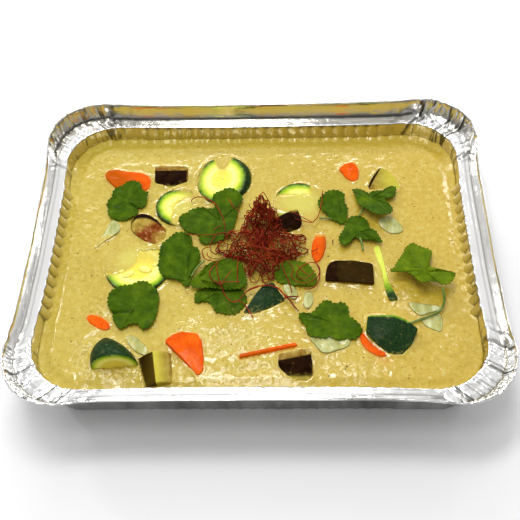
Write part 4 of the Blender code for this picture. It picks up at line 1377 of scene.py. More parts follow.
def paler(x, y):
    """Share of pale flesh that shows through at a place."""
    return strongest(x, y, PALE_SHOW_THROUGH, 4)

for name, fill in (("stain", stained), ("pale", paler), ("rough", churned)):
    note_on(sauce, name, fill)
print("notes on the sauce: stain, pale and rough")

# %% [markdown]
# ## Cream sauce
# Coconut sauce is dense and pale yellow, a little grainy, and wet. The grain is a fine noise that
# both shifts the colour and bumps the surface, so each grain takes its own small glint. A broader
# curd noise does the same for the lumps, most where the sauce is churned.

# %% Sauce material
cream, mix, shader = new_material("cream_sauce")
split = mix.add("SeparateXYZ")
mix.feed(split.inputs["Vector"], mix.place())
broad = mix.noise(mix.place(), 45, 4)
grain = mix.noise(mix.place(), 1000, 3, 0.7)
curd = mix.noise(mix.place(), 430, 3, 0.6)
colour = mix.mixed(mix.ranged(broad, 0.35, 0.65), (0.505, 0.369, 0.034), (0.565, 0.427, 0.052))
for share, tint in (
    (mix.ranged(split.outputs["X"], -0.02, 0.08, 0, 0.7), (0.568, 0.379, 0.030)),
    (mix.ranged(curd, 0.5, 0.7, 0, 0.5), (0.68, 0.552, 0.145)),
    (mix.ranged(curd, 0.46, 0.3, 0, 0.4), (0.425, 0.289, 0.0255)),
    (mix.ranged(grain, 0.5, 0.75, 0, 0.35), (0.731, 0.629, 0.204)),
    (mix.ranged(grain, 0.45, 0.25, 0, 0.5), (0.374, 0.246, 0.0213)),
    (mix.noted("stain"), (0.722, 0.17, 0.017)),
    (mix.noted("pale"), (0.663, 0.612, 0.102)),
):
    colour = mix.mixed(share, colour, tint)
mix.feed(shader.inputs["Base Color"], colour)
shader.inputs["Roughness"].default_value = 0.12
glossed(shader, 0.65, 0.12, 0.06)
churn = mix.ranged(mix.noted("rough"), 0.1, 1.0, 0.25, 2.1)
soft = mix.bumped(mix.sums("MULTIPLY", curd, churn), 0.00038)
mix.feed(shader.inputs["Normal"], mix.bumped(grain, 0.00005, under=soft))
sauce.data.materials.append(cream)

# %% [markdown]
# ## Coriander leaves
# A coriander leaf is a fan of rounded lobes, each notched and finely toothed, and its veins run
# from the stalk into every lobe and branch there. A leaf could be traced as one flat face, but it
# has to bend. Here its edge is one loop, extruded inwards ring by ring to the place where the
# veins meet, then waved, creased and given a thickness. Each point notes how near a vein is, how
# near a crease is, for the painted shade in it, and a tone that holds painted light.

# %% The outline of a leaf
LEAF_COUNT = 288
LEAF_SHARES = (1.0, 0.965, 0.92, 0.86, 0.78, 0.7, 0.61, 0.52, 0.43, 0.34, 0.25, 0.16, 0.08)

def toothed(outline, tooth, spacing, seed):
    """The outline as an even loop with rounded teeth cut into it."""
    loop, _ = even_loop(outline, 1.0, LEAF_COUNT)
    length = sum((b - a).length for a, b in zip(loop, loop[1:] + loop[:1]))
    teeth = max(8, round(length / spacing))
    edge = []
    for index, point in enumerate(loop):
        ahead = loop[(index + 2) % LEAF_COUNT] - loop[index - 2]
        out = Vector((ahead.y, -ahead.x)).normalized()
        phase = teeth * index / LEAF_COUNT + 0.35 * noise.noise(Vector((index * 0.05, seed, 0)))
        size = tooth * (0.75 + 0.5 * noise.noise(Vector((index * 0.11, seed, 4))))
        edge.append(point + out * size * (abs(math.sin(math.pi * phase)) - 0.6))
    return edge

# %% Veins
FORKS = (0.3, 0.5, 0.7)
FORK_ANGLE = 40

def vein_lines(tips, heart):
    """The veins as (start, end, width), from the stalk's end to each tip, with side veins."""
    lines = []
    for tip in (Vector(place) for place in tips):
        spoke = tip - heart
        lines.append((heart, tip, 1.0))
        for share in FORKS:
            fork = heart.lerp(tip, share)
            for side in (-1, 1):
                turned = spoke.normalized()
                turned.rotate(Matrix.Rotation(side * math.radians(FORK_ANGLE), 2))
                lines.append((fork, fork + turned * spoke.length * (0.95 - share) * 0.6, 0.5))
    return lines

def from_line(point, start, end):
    """Distance from a point to a line between two ends."""
    along = end - start
    share = held((point - start).dot(along) / max(along.length_squared, 1e-9))
    return (point - start - along * share).length

# %% Leaf material
green, mix, shader = new_material("coriander")
tone = mix.noise(mix.place(), 210, 4, 0.55)
dark = mix.ramped(tone, (
    (0.3, (0.0252, 0.0629, 0.00074)), (0.55, (0.0503, 0.105, 0.00148)),
    (0.75, (0.0888, 0.159, 0.00296)),
))
tone_and_painted_light = mix.ramped(tone, (
    (0.3, (0.0629, 0.115, 0.00074)), (0.55, (0.104, 0.167, 0.00148)),
    (0.75, (0.155, 0.229, 0.0037)),
))
# Painted light: the darker and paler greens are mixed by the leaf's tone, which holds its own variation
# and painted light, palest where a leaf is raised or bends up.
blade = mix.mixed(mix.noted("tone_and_painted_light"), dark, tone_and_painted_light)
vein = mix.ranged(mix.noted("vein"), 0.05, 0.6, 0.11, 0.0)
blade = mix.mixed(vein, blade, (0.16, 0.26, 0.02))
# Painted shade: the leaf is darkened along its creases.
crease_shade = mix.ranged(mix.noted("crease_shade"), 0.1, 0.9, 0.7, 0.0)
blade = mix.mixed(crease_shade, blade, (0.010, 0.030, 0.002))
wetted(mix, shader, blade, Cream=0.08, Grain=1300.0, Gloss=0.36)
glossed(shader, 0.025, 0.015, 0.25)

# %% Build a leaf
NO_FOLD = 9.0

def sculpted(flat, lines, tone_and_painted_light, wave, folds, spots, seed):
    """The height of a leaf at a place, and its notes: how far a vein and a fold are, and its tone with
    painted light.
    """
    nearest = min(from_line(flat, a, b) / width for a, b, width in lines)
    bend = noise.noise(Vector((flat.x * 0.15, flat.y * 0.15, seed * 3.1)))
    curl = noise.noise(Vector((flat.x * 0.45, flat.y * 0.45, seed * 1.7)))
    z = wave * (bend + 0.4 * curl) - 0.10 * math.exp(-((nearest / 0.5) ** 2))
    fold = NO_FOLD
    for start, end, depth in folds:
        away = from_line(flat, Vector(start), Vector(end))
        fold = min(fold, away)
        z -= depth * math.exp(-((away / 0.9) ** 2))
    # Painted light: the tone rises where the leaf bends upwards and in the spots; a negative spot
    # darkens.
    tone = tone_and_painted_light + 0.25 * bend
    for x, y, reach, amount in spots:
        tone += amount * math.exp(-(((flat - Vector((x, y))).length / reach) ** 2))
    return z, (nearest, fold, held(tone))

def leaf(
    node, outline, at, rise, tips, heart=(0, 0), tone_and_painted_light=0.0, wave=0.8, folds=(), spots=(),
    tooth=0.95, spacing=2.3, seed=0, **lie,
):
    """folds are creases (start, end, depth in mm), with painted shade along them; spots are lighter
    places (x, y, reach, share), partly the leaf's paler green and partly painted light where it lifts,
    and a negative share darkens.
    """
    heart = Vector(heart)
    lines = vein_lines(tips, heart)
    edge = toothed(outline, tooth, spacing, seed)
    rings, notes = [], []
    for share in LEAF_SHARES:
        flats = [heart.lerp(tip, share) for tip in edge]
        shapes = [sculpted(flat, lines, tone_and_painted_light, wave, folds, spots, seed) for flat in flats]
        rings.append([Vector((flat.x, flat.y, z)) for flat, (z, _) in zip(flats, shapes)])
        notes += [values for _, values in shapes]
    bm = bmesh.new()
    layers = [bm.verts.layers.float.new(name) for name in ("vein", "crease_shade", "tone_and_painted_light")]
    extruded_through(bm, rings, capped=False)
    for vertex, values in zip(bm.verts, notes):
        for layer, value in zip(layers, values):
            vertex[layer] = value
    bmesh.ops.recalc_face_normals(bm, faces=bm.faces)
    if sum(face.normal.z for face in bm.faces) < 0:
        bmesh.ops.reverse_faces(bm, faces=bm.faces)
    bm.transform(Matrix.Scale(MM, 4) @ setting(at, rise, **lie))
    piece = plain_object(node + "_piece", bm)
    piece.data.materials.append(green)
    body = piece.modifiers.new("leaf thickness", "SOLIDIFY")
    body.thickness = 0.28 * MM
    body.offset = -1
    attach(piece, "root")
    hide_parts(node)

# %% [markdown]
# ## The leaves on the left
# Each leaf has its own outline and its own lobes. The leaves overlap, so each one's height over
# the sauce keeps it clear of the one below. A leaf that has been pressed shows a fold with painted
# shade along it, and one that lifts gets a lighter spot of painted light.

# %% The leaves on the left
leaf(
    "leaf_back_left",
    [(1.2, 12.5), (4.6, 12.3), (7.3, 10.4), (7.1, 8), (9, 5.5), (12, 5), (10.5, 2.8), (11.1, -0.5),
     (10.7, -3.3), (8.3, -5.5), (5.2, -4.2), (7.2, -6.6), (7, -8.7), (4.7, -10.9), (1.7, -12.7),
     (-1.8, -13.1), (-5.3, -12.4), (-8.3, -10), (-9.2, -7.1), (-9, -4.7), (-10.6, -2.8), (-9.7, -1),
     (-9.5, 0.9), (-8, 1.7), (-8, 4.7), (-6.9, 7.1), (-4.9, 9.3), (-2.4, 10), (-1.3, 11.7)],
    (-70.8, 31.6), 2.3, ((3, 11), (9, -1), (2, -11), (-7, -8), (-7, 5)), heart=(0.5, -1), pitch=4,
    folds=(((5.4, -4.4), (3, -2.6), 0.5),), seed=1,
)
leaf(
    "leaf_upper_left",
    [(-1.3, 17.2), (1.3, 18.4), (3.3, 19), (4.8, 20.4), (7.8, 21), (10.5, 19.4), (12.8, 17.2),
     (14.5, 14.4), (13.7, 11.6), (11.8, 8.9), (11.8, 4.8), (10.8, 0.3), (9.8, -4.7), (7.3, -10.2),
     (3.3, -12.7), (-0.7, -13.7), (-4.7, -14.5), (-7.7, -12.1), (-7.3, -8.7), (-9.7, -7.1),
     (-13.2, -6.7), (-16.2, -4.1), (-18.2, -1.2), (-19.1, 2.3), (-16.7, 5.1), (-14.1, 4.9),
     (-13.7, 7.3), (-10.7, 8.6), (-7.3, 9.2), (-4.7, 7.9), (-1.1, 7.7), (0.7, 9.2), (-0.2, 11.9),
     (-1.7, 14.4)],
    (-23.4, 17.2), 2.2, ((6.5, 18), (-16, 1), (-9, 7), (-3, -12)), heart=(3, 0), roll=-2, pitch=3,
    seed=2, spots=((7, 15, 5, 0.3),),
)
leaf(
    "leaf_mid_left",
    [(-1.2, 16.5), (1.8, 16.3), (3.8, 15.1), (5.2, 12.7), (5.4, 9.7), (4.6, 7.4), (6.2, 7.3), (8.2, 6.7),
     (9.6, 4.2), (10.4, 0.7), (9.8, -2.7), (8.4, -5.3), (7.2, -7.9), (6.4, -11.3), (6, -15.3),
     (4.4, -17.5), (2.2, -14.9), (0, -12.5), (-2.8, -11.9), (-5.2, -12.1), (-7.8, -10.3), (-9.8, -7.9),
     (-10.2, -5.3), (-11.2, -3.3), (-10.2, -1.3), (-10.6, 1.7), (-10.6, 4.7), (-10.2, 7.7),
     (-8.8, 10.3), (-6.6, 12.3), (-4.8, 14.7), (-3.2, 16.3)],
    (-39.8, -5.8), 1.9, ((0.5, 15), (8, 3), (-9, 6), (-9, -4), (3, -11)), heart=(4.2, -13.5), seed=3,
    spots=((-6, -5, 5, 0.35),),
)
leaf(
    "leaf_centre_light",
    [(-4.2, 8.2), (-6.6, 4.7), (-8.6, 2.2), (-10.6, -0.1), (-12.6, -3.2), (-13.5, -6.3), (-9.5, -7.3),
     (-5.5, -6.9), (-1.5, -7.3), (2.5, -7.9), (6.4, -8.1), (9.4, -8.1), (11.8, -7.9), (14.4, -6.3),
     (14.8, -3.2), (13.4, 0.5), (13.4, 4.1), (11.4, 7.7), (7.4, 10.3), (1.4, 10.3)],
    (-20.4, -17), 2.9, ((12, -4), (10, 6), (3, 9), (0, -5)), heart=(-9, -2), pitch=-3,
    tone_and_painted_light=0.25, seed=4, spots=((-8, -4, 5, 0.35),),
)
leaf(
    "leaf_centre_dark",
    [(-12.7, 3.4), (-10.7, 4.6), (-5.7, 5.2), (0.3, 4.8), (6.3, 4.8), (10.4, 4.2), (12.2, 1.2),
     (12.8, -2.2), (11.8, -5.6), (9.8, -7.2), (8.3, -9.2), (4.9, -9.6), (1.9, -9.4), (-0.7, -8.2),
     (-1.9, -8.8), (-3.3, -6.2), (-4.7, -3.6), (-6.7, -2.2), (-9.7, -2.6), (-12.3, -3.4), (-12.9, -0.2)],
    (-18.4, -28.4), 1.1, ((-11, 0), (4, -8), (10, -3)), heart=(-1, 3), tone_and_painted_light=-0.6, seed=5,
)
leaf(
    "leaf_front_left",
    [(-12, 2.5), (-11.8, 5.5), (-10.2, 8.1), (-7.6, 8.9), (-5.6, 9.9), (-3.2, 9.9), (-0.6, 10.1),
     (1.4, 11.7), (3.8, 12.1), (6.4, 12.1), (8.4, 10.5), (9.8, 8.9), (11.4, 8.3), (12.2, 5.5),
     (13.4, 2.5), (13, -1), (13, -4.5), (12.4, -8.5), (11.2, -11.9), (8.8, -14.5), (6.4, -15.1),
     (4.8, -12.5), (3.4, -11.7), (0.8, -11.9), (-1.6, -13.1), (-4, -14.9), (-5.6, -13.1),
     (-7.2, -10.7), (-8.6, -8.1), (-8, -6.1), (-9.6, -4.3), (-11.6, -1.5)],
    (-61.4, -31.6), 1.9, ((-10, 4), (-5, 9), (5, 11), (11, 5), (11, -8), (6, -13), (-4, -12)),
    heart=(1.5, -1.5), folds=(((-8.4, -5.6), (0.5, -4.6), 0.7),),
    spots=((4, 9, 5, 0.4), (1, -9, 5, 0.3)), seed=6,
)

# %% [markdown]
# ## The leaves on the right
# One of these stands up on its own stem above the sauce. It catches the most light, so its colour
# is painted the palest, and it is tilted towards the front.

# %% The leaves on the right
leaf(
    "leaf_front_right",
    [(-4.4, 9), (-2.4, 10.8), (0, 10.6), (2.6, 8.4), (4, 9.2), (6, 9.6), (8.4, 7.8), (9, 5), (8.6, 1.8),
     (10.8, 0.8), (13, -1.8), (14.8, -4.6), (14.4, -7.2), (12.6, -9.2), (10.4, -11), (7.4, -10),
     (4.4, -11), (1, -10.4), (-0.6, -8.8), (-3, -10.2), (-6.4, -9.4), (-10, -8.8), (-11.6, -5.8),
     (-11.2, -3.2), (-13.6, -1.2), (-15.2, 1.4), (-14, 4.6), (-11.4, 3.6), (-8.6, 4.2), (-6.4, 6.4)],
    (34, -41.6), 1.6, ((-1, 9), (6, 8), (12, -4), (8, -9), (-3, -8), (-9, -7), (-13, 1)),
    heart=(0.5, -1.5), tone_and_painted_light=0.12, spots=((2, -6, 6, 0.25),), seed=7,
)
leaf(
    "leaf_under_chilli",
    [(-10.4, 3.1), (-7.8, 6.1), (-4.8, 8.1), (-3.4, 11.1), (-2, 8.1), (1.6, 7.5), (5.6, 6.5), (7.6, 3.5),
     (9.6, -0.5), (10.2, -3.5), (9, -6.5), (6.2, -6.9), (2.6, -6.5), (-1.4, -6.3), (-5.4, -5.5),
     (-8.8, -4.5), (-11, -1.5)],
    (18.4, -15.8), 1.5, ((-8, 0), (-3, 8), (6, 5), (8, -4), (0, -6)), heart=(-1, 0), tone_and_painted_light=0.5, seed=8,
    spots=((4, 1, 6, 0.6), (-8, 1, 4, -0.5)),
)
leaf(
    "leaf_right_a",
    [(-2.2, 10), (-0.2, 10.4), (2.8, 10), (4.8, 8.9), (6.2, 7.1), (5.8, 4.8), (5.4, 2.5), (7, -0.1),
     (7.1, -4), (6.5, -7.9), (5.3, -10.8), (3.5, -11.8), (1.9, -10.2), (-1.2, -8.9), (-3.6, -5.9),
     (-5.8, -3.4), (-7.2, -1.1), (-8.4, 1.5), (-7.8, 3.8), (-5.8, 6.7), (-4.2, 8.9)],
    (38.2, 26.4), 2.0, ((1, 9), (-7, 2), (5, -1), (3, -10)), heart=(0, -1), pitch=2,
    tone_and_painted_light=-0.05, seed=9, folds=(((3, 2.6), (3.6, -4), 0.6),),
)
leaf(
    "leaf_right_b",
    [(-9.4, 8.9), (-6.2, 9.4), (-3.2, 8.3), (-1.3, 5.8), (-0.3, 4.2), (0.8, 7.1), (3.8, 7.6), (7.2, 7.3),
     (9.4, 8.9), (11.3, 11.2), (13.5, 10.9), (14.4, 8.9), (13.3, 5.5), (12.8, 2.4), (10, 1.9),
     (8.2, 2.7), (7.2, 1.6), (8.2, -1.9), (9.9, -5.8), (11.1, -8.6), (9.7, -11.1), (7, -12.8),
     (3.1, -12.3), (-0.4, -10.3), (-2.8, -7), (-5, -6), (-6.7, -4), (-7.4, -0.2), (-7.3, 3.7),
     (-8.2, 6.3)],
    (57.2, 28.6), 4.2, ((-7, 8), (12, 8), (8, -9), (-1, -8)), heart=(0, 1.5), pitch=-14, seed=10,
    folds=(((4, 3.4), (9, 2.2), 0.9),), spots=((-3, 0, 4, 0.45),), wave=0.5,
)
leaf(
    "leaf_right_c",
    [(-1.1, 10.4), (0.9, 10.6), (3.3, 8.9), (4.9, 6.8), (5.7, 3.6), (5.3, 1.5), (7.5, 1.3), (9.2, -0.6),
     (10.2, -3.8), (11, -6.5), (11.8, -8), (9.4, -7.6), (6.8, -5.9), (3.8, -5.5), (1.2, -5.6),
     (-0.6, -4.8), (-2.6, -4.2), (-4, -5.9), (-5.6, -8.4), (-7.6, -10.1), (-9.6, -8.4), (-10.6, -5.5),
     (-9.6, -2.3), (-8, 0.4), (-6.6, 3.2), (-6.7, 5.7), (-5.1, 8.3), (-3.1, 10.2)],
    (50.2, 9.8), 2.2, ((0, 9), (10, -6), (-8, -8)), heart=(0.4, -0.6), pitch=-4, seed=11,
    spots=((0, 6, 5, 0.15),),
)
leaf(
    "leaf_raised_right",
    [(-2.5, 18.2), (-6.6, 14.5), (-8.4, 9), (-12.3, 2.5), (-13.6, -1.2), (-17, -4.2), (-9.1, -4.1),
     (-6, -7.1), (-3.1, -12), (-1, -13), (1.7, -11.3), (5.4, -12.1), (7.2, -15), (11.5, -13.1),
     (13.7, -9.3), (15.1, -5.6), (7.9, -3.8), (3.1, -1.7), (3, 2.3), (5.7, 8.5), (5, 12.2), (1.4, 14.4),
     (-1.0, 15.6)],
    (79.6, -13.8), 5.8, ((-2.5, 16), (-15, -4), (-11, 3), (13, -7), (4, 11)), heart=(0.5, -4.6),
    pitch=-16, tone_and_painted_light=0.95, wave=0.6, tooth=1.1, spacing=2.1, seed=12,
    folds=(((-4, -0.8), (-1.8, -1.2), 0.6),),
)

# %% [markdown]
# ## Stalks
# A stalk is a thin round stem that tapers and sags. Its path is a smooth curve through a few
# points, and a ring is carried along it by extrusion, turned square to the path at each step.

# %% Stalks
STALK_SIDES = 10

def smooth_path(points, steps):
    """A smooth line through points, with a few steps between each two."""
    path = [Vector(p) for p in points]
    path = [path[0] * 2 - path[1]] + path + [path[-1] * 2 - path[-2]]
    line = []
    for a, b, c, d in zip(path, path[1:], path[2:], path[3:]):
        for step in range(steps):
            t = step / steps
            square = 2 * a - 5 * b + 4 * c - d
            cube = 3 * b - a - 3 * c + d
            line.append(0.5 * (2 * b + (c - a) * t + square * t**2 + cube * t**3))
    return line + [path[-2]]

def tube_rings(line, thick):
    """Rings square to a line, thinner towards its end."""
    rings = []
    side = Vector((0.3, 0.5, 0.9))
    for index, point in enumerate(line):
        ahead = line[min(index + 1, len(line) - 1)] - line[max(index - 1, 0)]
        ahead.normalize()
        side = (side - ahead * side.dot(ahead)).normalized()
        other = ahead.cross(side)
        radius = thick / 2 * (1.1 - 0.25 * index / (len(line) - 1))
        angles = (2 * math.pi * i / STALK_SIDES for i in range(STALK_SIDES))
        rings.append([point + (side * math.cos(a) + other * math.sin(a)) * radius for a in angles])
    return rings

stalk, mix, shader = new_material("coriander_stalk")
ridge = mix.noise(mix.place(), 500)
skin = mix.ramped(ridge, ((0.3, (0.075, 0.135, 0.010)), (0.7, (0.20, 0.29, 0.04))))
wetted(mix, shader, skin, Cream=0.3, Grain=1400.0, Gloss=0.28)

def stem(node, route, thick):
    """A stem along a route over the sauce. Without a node it is a loose bit of stalk."""
    line = smooth_path([(x, y, LEVEL + z) for x, y, z in route], 8)
    bm = bmesh.new()
    extruded_through(bm, tube_rings(line, thick))
    bmesh.ops.recalc_face_normals(bm, faces=bm.faces)
    bm.transform(Matrix.Scale(MM, 4))
    piece = plain_object(node + "_piece" if node else "stalk_bit", bm)
    piece.data.materials.append(stalk)
    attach(piece, "root")
    if node:
        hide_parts(node)

stem(None, [(50.4, 5.4, 2.2), (51.4, 2.4, 1.8), (51.8, -1.8, 1.0)], 1.1)
stem(None, [(30.6, 19.2, 1.0), (33.6, 18.6, 1.5), (37.2, 18.4, 1.2)], 0.9)
stem(None, [(-27.4, -8.6, 3.4), (-30.4, -12, 3.2), (-33.2, -17.4, 3.0)], 1.1)
drooping = [(86.8, -28.6, 8.6), (87.8, -33, 5.6), (86.4, -36.9, 2.8), (81.9, -39.5, 1.8)]
drooping += [(71, -43.7, 1.3)]
stem("stem_raised_right", drooping, 1.2)
stem("stem_right", [(56.4, 28, 3.6), (55.6, 26, 3.2), (52.6, 22.6, 2.8), (50.4, 18.6, 2.6)], 1.1)

# %% [markdown]
# ## Chilli threads
# The topping is dried chilli cut into hair-thin threads, dropped as a loose nest. Its CAD solid
# is the outer shape of the nest. Here the nest is over a hundred real threads. Each one is a
# curve that keeps turning, and turns back when it reaches the outer shape, over a low dark core.

# %% The outer shape of the nest
NEST_CENTRE = Vector((1.0, 1.0))
NEST_PEAK = Vector((1.0, 15.0))
NEST_FLOOR = 1.0
SPIRE, MOUND = 26.0, 9.0  # how high the nest rises at its peak and in its middle

def nest_share(x, y):
    """0 at the middle of the nest, 1 at its outline."""
    away = Vector((x, y)) - NEST_CENTRE
    heading = math.atan2(away.y, away.x)
    return away.length / (18.4 + 4.6 * math.cos(4 * heading) + 1.2 * math.sin(heading))

def nest_height(x, y):
    """The top of the nest over the sauce."""
    away = Vector((x, y)) - NEST_PEAK
    spire = SPIRE * max(0.0, 1 - math.hypot(away.x / 11.5, away.y / 12)) ** 1.4
    return 1.6 + max(spire, MOUND * (1 - nest_share(x, y) ** 1.5), 0.6)

print("nest height at its peak:", round(nest_height(*NEST_PEAK), 1), "mm")

# %% One thread that wanders
THREAD_STEP = 1.5
TURN_BACK = 0.93  # this far out, a thread starts to turn back

def any_way(maker, rise=1.0):
    """A random direction. A low rise keeps it nearly level."""
    return Vector((maker.uniform(-1, 1), maker.uniform(-1, 1), maker.uniform(-rise, rise))).normalized()

def kept_inside(point, ahead):
    """Turns a thread's heading back from the nest's outline, its top and the sauce."""
    share = nest_share(point.x, point.y)
    if share > TURN_BACK:
        back = Vector((*(NEST_CENTRE - point.xy), 0)).normalized()
        ahead = (ahead + back * min(1.2, (share - TURN_BACK) * 7)).normalized()
    if point.z > nest_height(point.x, point.y):
        inwards = Vector((*(NEST_PEAK - point.xy), 0))
        pull = 0.5 if inwards.length < 10 else 0.0
        ahead = (ahead + pull * inwards.normalized() + Vector((0, 0, -0.6))).normalized()
    if point.z < NEST_FLOOR + 0.8:
        ahead = (ahead + Vector((0, 0, 0.7))).normalized()
    return ahead

def thread(maker, start, length, curl):
    """Points along one thread that wanders inside the nest."""
    point, ahead, axis = Vector(start), any_way(maker, 0.5), any_way(maker)
    points = [point]
    for _ in range(int(length / THREAD_STEP)):
        axis += 0.35 * Vector((maker.gauss(0, 1), maker.gauss(0, 1), maker.gauss(0, 1)))
        axis.normalize()
        ahead = (ahead + axis.cross(ahead) * THREAD_STEP / curl).normalized()
        ahead = kept_inside(point, ahead)
        point = point + ahead * THREAD_STEP
        point.z = max(point.z, NEST_FLOOR)
        points.append(point)
    return points

# %% One thread over the spire
UPHILL = (1.0, 0.65, 0.3, 0.0)
DOWNHILL = (0.3, 0.65, 1.0)

def over_the_peak(maker):
    """Points along a thread that climbs one side of the spire and comes down another."""
    up = maker.uniform(0, 2 * math.pi)
    down = up + maker.uniform(0.5, 1.5) * math.pi
    top = maker.uniform(17, 27)
    route = []
    for heading, share in [(up, share) for share in UPHILL] + [(down, share) for share in DOWNHILL]:
        x = NEST_PEAK.x + 1.2 * (1 - share) + 8.5 * share * math.cos(heading) + maker.gauss(0, 1.5)
        y = NEST_PEAK.y + 8 * share * math.sin(heading) + maker.gauss(0, 1.5)
        route.append((x, y, 4 + (top - 4) * (1 - share) + maker.gauss(0, 1.2)))
    return smooth_path(route, 5)

# %% [markdown]
# ## Filling the nest
# A nest that is filled evenly looks like a ball of wool. The real one is loose, densest round its
# outline, and heaped to a spire at the back. So the threads start in four ways: anywhere, but
# more often near the outline, then over the spire, inside it, and along the open left side.

# %% Grow the threads
maker = random.Random(7)
lines = []

def add(line):
    """Keeps a thread, with a thickness of its own."""
    lines.append((line, maker.uniform(0.75, 1.25)))

while len(lines) < 88:
    x, y = NEST_CENTRE.x + maker.uniform(-22, 22), NEST_CENTRE.y + maker.uniform(-22, 22)
    share = nest_share(x, y)
    if share > 0.95 or maker.random() > 0.2 + 0.8 * share:
        continue
    start = (x, y, maker.uniform(NEST_FLOOR, nest_height(x, y)))
    add(thread(maker, start, maker.uniform(24, 60), maker.uniform(5, 20)))
for _ in range(13):
    add(over_the_peak(maker))
for _ in range(9):
    start = (NEST_PEAK.x + maker.gauss(0, 2), NEST_PEAK.y + maker.gauss(0, 2), maker.uniform(8, 22))
    add(thread(maker, start, maker.uniform(20, 45), maker.uniform(4, 9)))
for _ in range(15):
    start = (maker.uniform(-19, -7), maker.uniform(-9, 9), maker.uniform(1.5, 8))
    add(thread(maker, start, maker.uniform(24, 48), maker.uniform(4, 11)))
print("threads in the nest:", len(lines))

# %% [markdown]
# ## Stray threads
# A few threads hang out of the nest, over the leaves and the sauce. They could be left to
# chance, but they are what the eye follows, so each is a smooth line through points that are
# listed one by one. Three strips near the front are thicker than threads.

# %% Strays, as points over the sauce
STRAYS = (
    ((-36.4, 29, 2.6), (-35.6, 31, 3), (-33.6, 31.8, 3.6), (-31, 31.4, 4.2), (-28.4, 30.2, 4.8),
     (-25.6, 28, 5.2), (-22.6, 25, 5.4), (-20.4, 20.4, 5.4), (-18.6, 16, 5.2), (-17.8, 12, 5),
     (-17.4, 8, 5)),
    ((-38.6, 8.6, 2.6), (-34, 7.8, 3), (-28, 7.4, 3.4), (-22, 7.2, 3.8), (-17, 7.4, 4.6),
     (-12, 9, 5.6)),
    ((-16.6, 29.4, 5.2), (-15, 26.4, 5.2), (-13.4, 23.4, 5.4), (-11.6, 20.8, 6), (-9.6, 19, 7)),
    ((-23.6, 9.8, 3.4), (-21.6, 12, 3.6), (-19.4, 12.6, 4)),
    ((-15, 7, 5), (-20.6, 7.6, 4.6), (-23, 5, 4), (-24.6, 1.2, 3.8), (-24.2, -3, 4),
     (-21, -6, 4.6)),
    ((-24.6, -0.4, 3.4), (-27, -0.4, 3), (-28.6, -2, 3), (-28, -5.6, 3.4), (-25.6, -8.6, 4),
     (-20, -10, 4.6)),
    ((-26, -3.4, 3.4), (-25.8, -5.6, 3.6), (-23.4, -7.6, 4), (-19.6, -8, 4.4), (-17, -6.6, 4.8),
     (-17.4, -4.8, 5), (-20, -4.4, 4.8), (-22.4, -5.8, 4.4)),
    ((-19, -9, 5), (-23.4, -14, 4.6), (-24, -18, 4.4), (-21.6, -21.4, 4.2), (-18.4, -23.6, 4),
     (-17, -27, 3.6), (-15, -30.4, 3.2), (-12, -32.4, 3), (-9.4, -31.4, 3.2), (-7, -28.4, 3.8),
     (-4, -26.4, 4.4), (0, -25, 4.6)),
    ((-21, -12, 5), (-20, -18, 4.6), (-18.4, -23, 4.2), (-17, -21, 4.6), (-13, -15, 5.4)),
    ((-22, -21.6, 4.2), (-14, -21.8, 4.4), (-9, -21.6, 4.6)),
    ((-10.4, -9, 6), (-10.6, -17, 4.6), (-10, -23, 4)),
    ((-12, -31.6, 2.8), (-8, -32.4, 3), (-5.6, -35.4, 2.8), (-3.6, -38.8, 2.4), (-2.4, -40.4, 2)),
    ((11, -10, 5.4), (12, -15, 4.4), (14.4, -21, 3.4), (15.6, -25, 2.8), (16, -27.2, 2.4)),
    ((12, -7, 5.6), (16.6, -14, 4), (15.8, -18, 3.6), (19, -21.4, 3.2), (24, -21.6, 3.2),
     (28.4, -18.6, 3.2), (29.8, -14.4, 3.2), (28.6, -11.4, 3.4), (26, -10.2, 3.6),
     (22.6, -11.6, 3.8), (19.4, -14.6, 3.6), (18.4, -17.6, 3.4), (21, -19.6, 3.4),
     (24.6, -18.6, 3.6), (27.6, -15, 3.8)),
    ((21.6, -24.8, 2.4), (25, -25, 2.6), (28, -22.8, 2.8), (29.4, -19, 3), (29.6, -14.6, 3.2),
     (27, -8, 3.6)),
    ((18.6, -11.6, 4), (21, -15, 3.8), (24.6, -18, 3.6)),
    ((37, 2.2, 1.2), (36.8, 3.8, 1.5), (37.2, 5.4, 1.2)),
    ((25.6, -3.8, 3.2), (27.6, -2.8, 3.4), (29.2, -1.6, 3.4)),
    ((18, 15, 6), (22, 14.4, 5), (25.6, 13.8, 4.4), (27.8, 15, 4), (29.6, 17.8, 3.8),
     (30.8, 21.4, 3.6), (31.4, 25, 3.6), (32.2, 28, 3.8), (32.2, 31, 4), (32.8, 35, 4.2)),
    ((15, 19, 8), (20, 17, 6.4), (25, 14.6, 4.8), (27.4, 13.6, 4.4)),
)
THICK_STRAYS = (
    ((-6, -27, 4), (-2, -25, 4.4), (3, -24.2, 4.8), (6, -24.4, 4.8), (9.6, -26, 4.6),
     (12.4, -29.4, 4.2), (15, -32, 3.6), (17, -35, 3), (18.6, -36.6, 2.6)),
    ((12.4, -30.6, 4.4), (16, -30.4, 4.4), (19.4, -30.2, 4.2)),
    ((12.2, -32, 4.2), (13.2, -30.6, 4.4), (13, -29.2, 4.4)),
)
for routes, width in ((STRAYS, 1.05), (THICK_STRAYS, 1.7)):
    lines += [(smooth_path(route, 5), width) for route in routes]
print("threads and strays:", len(lines))

# %% [markdown]
# ## From lines to round threads
# A thread has a round section and thin ends. A curve object gives both: its bevel makes every
# line round, and each point's radius tapers the ends. All the threads are one curve, which is
# then turned into a mesh like every other piece.

# %% Make the threads
THREAD_WIDTH = 0.5

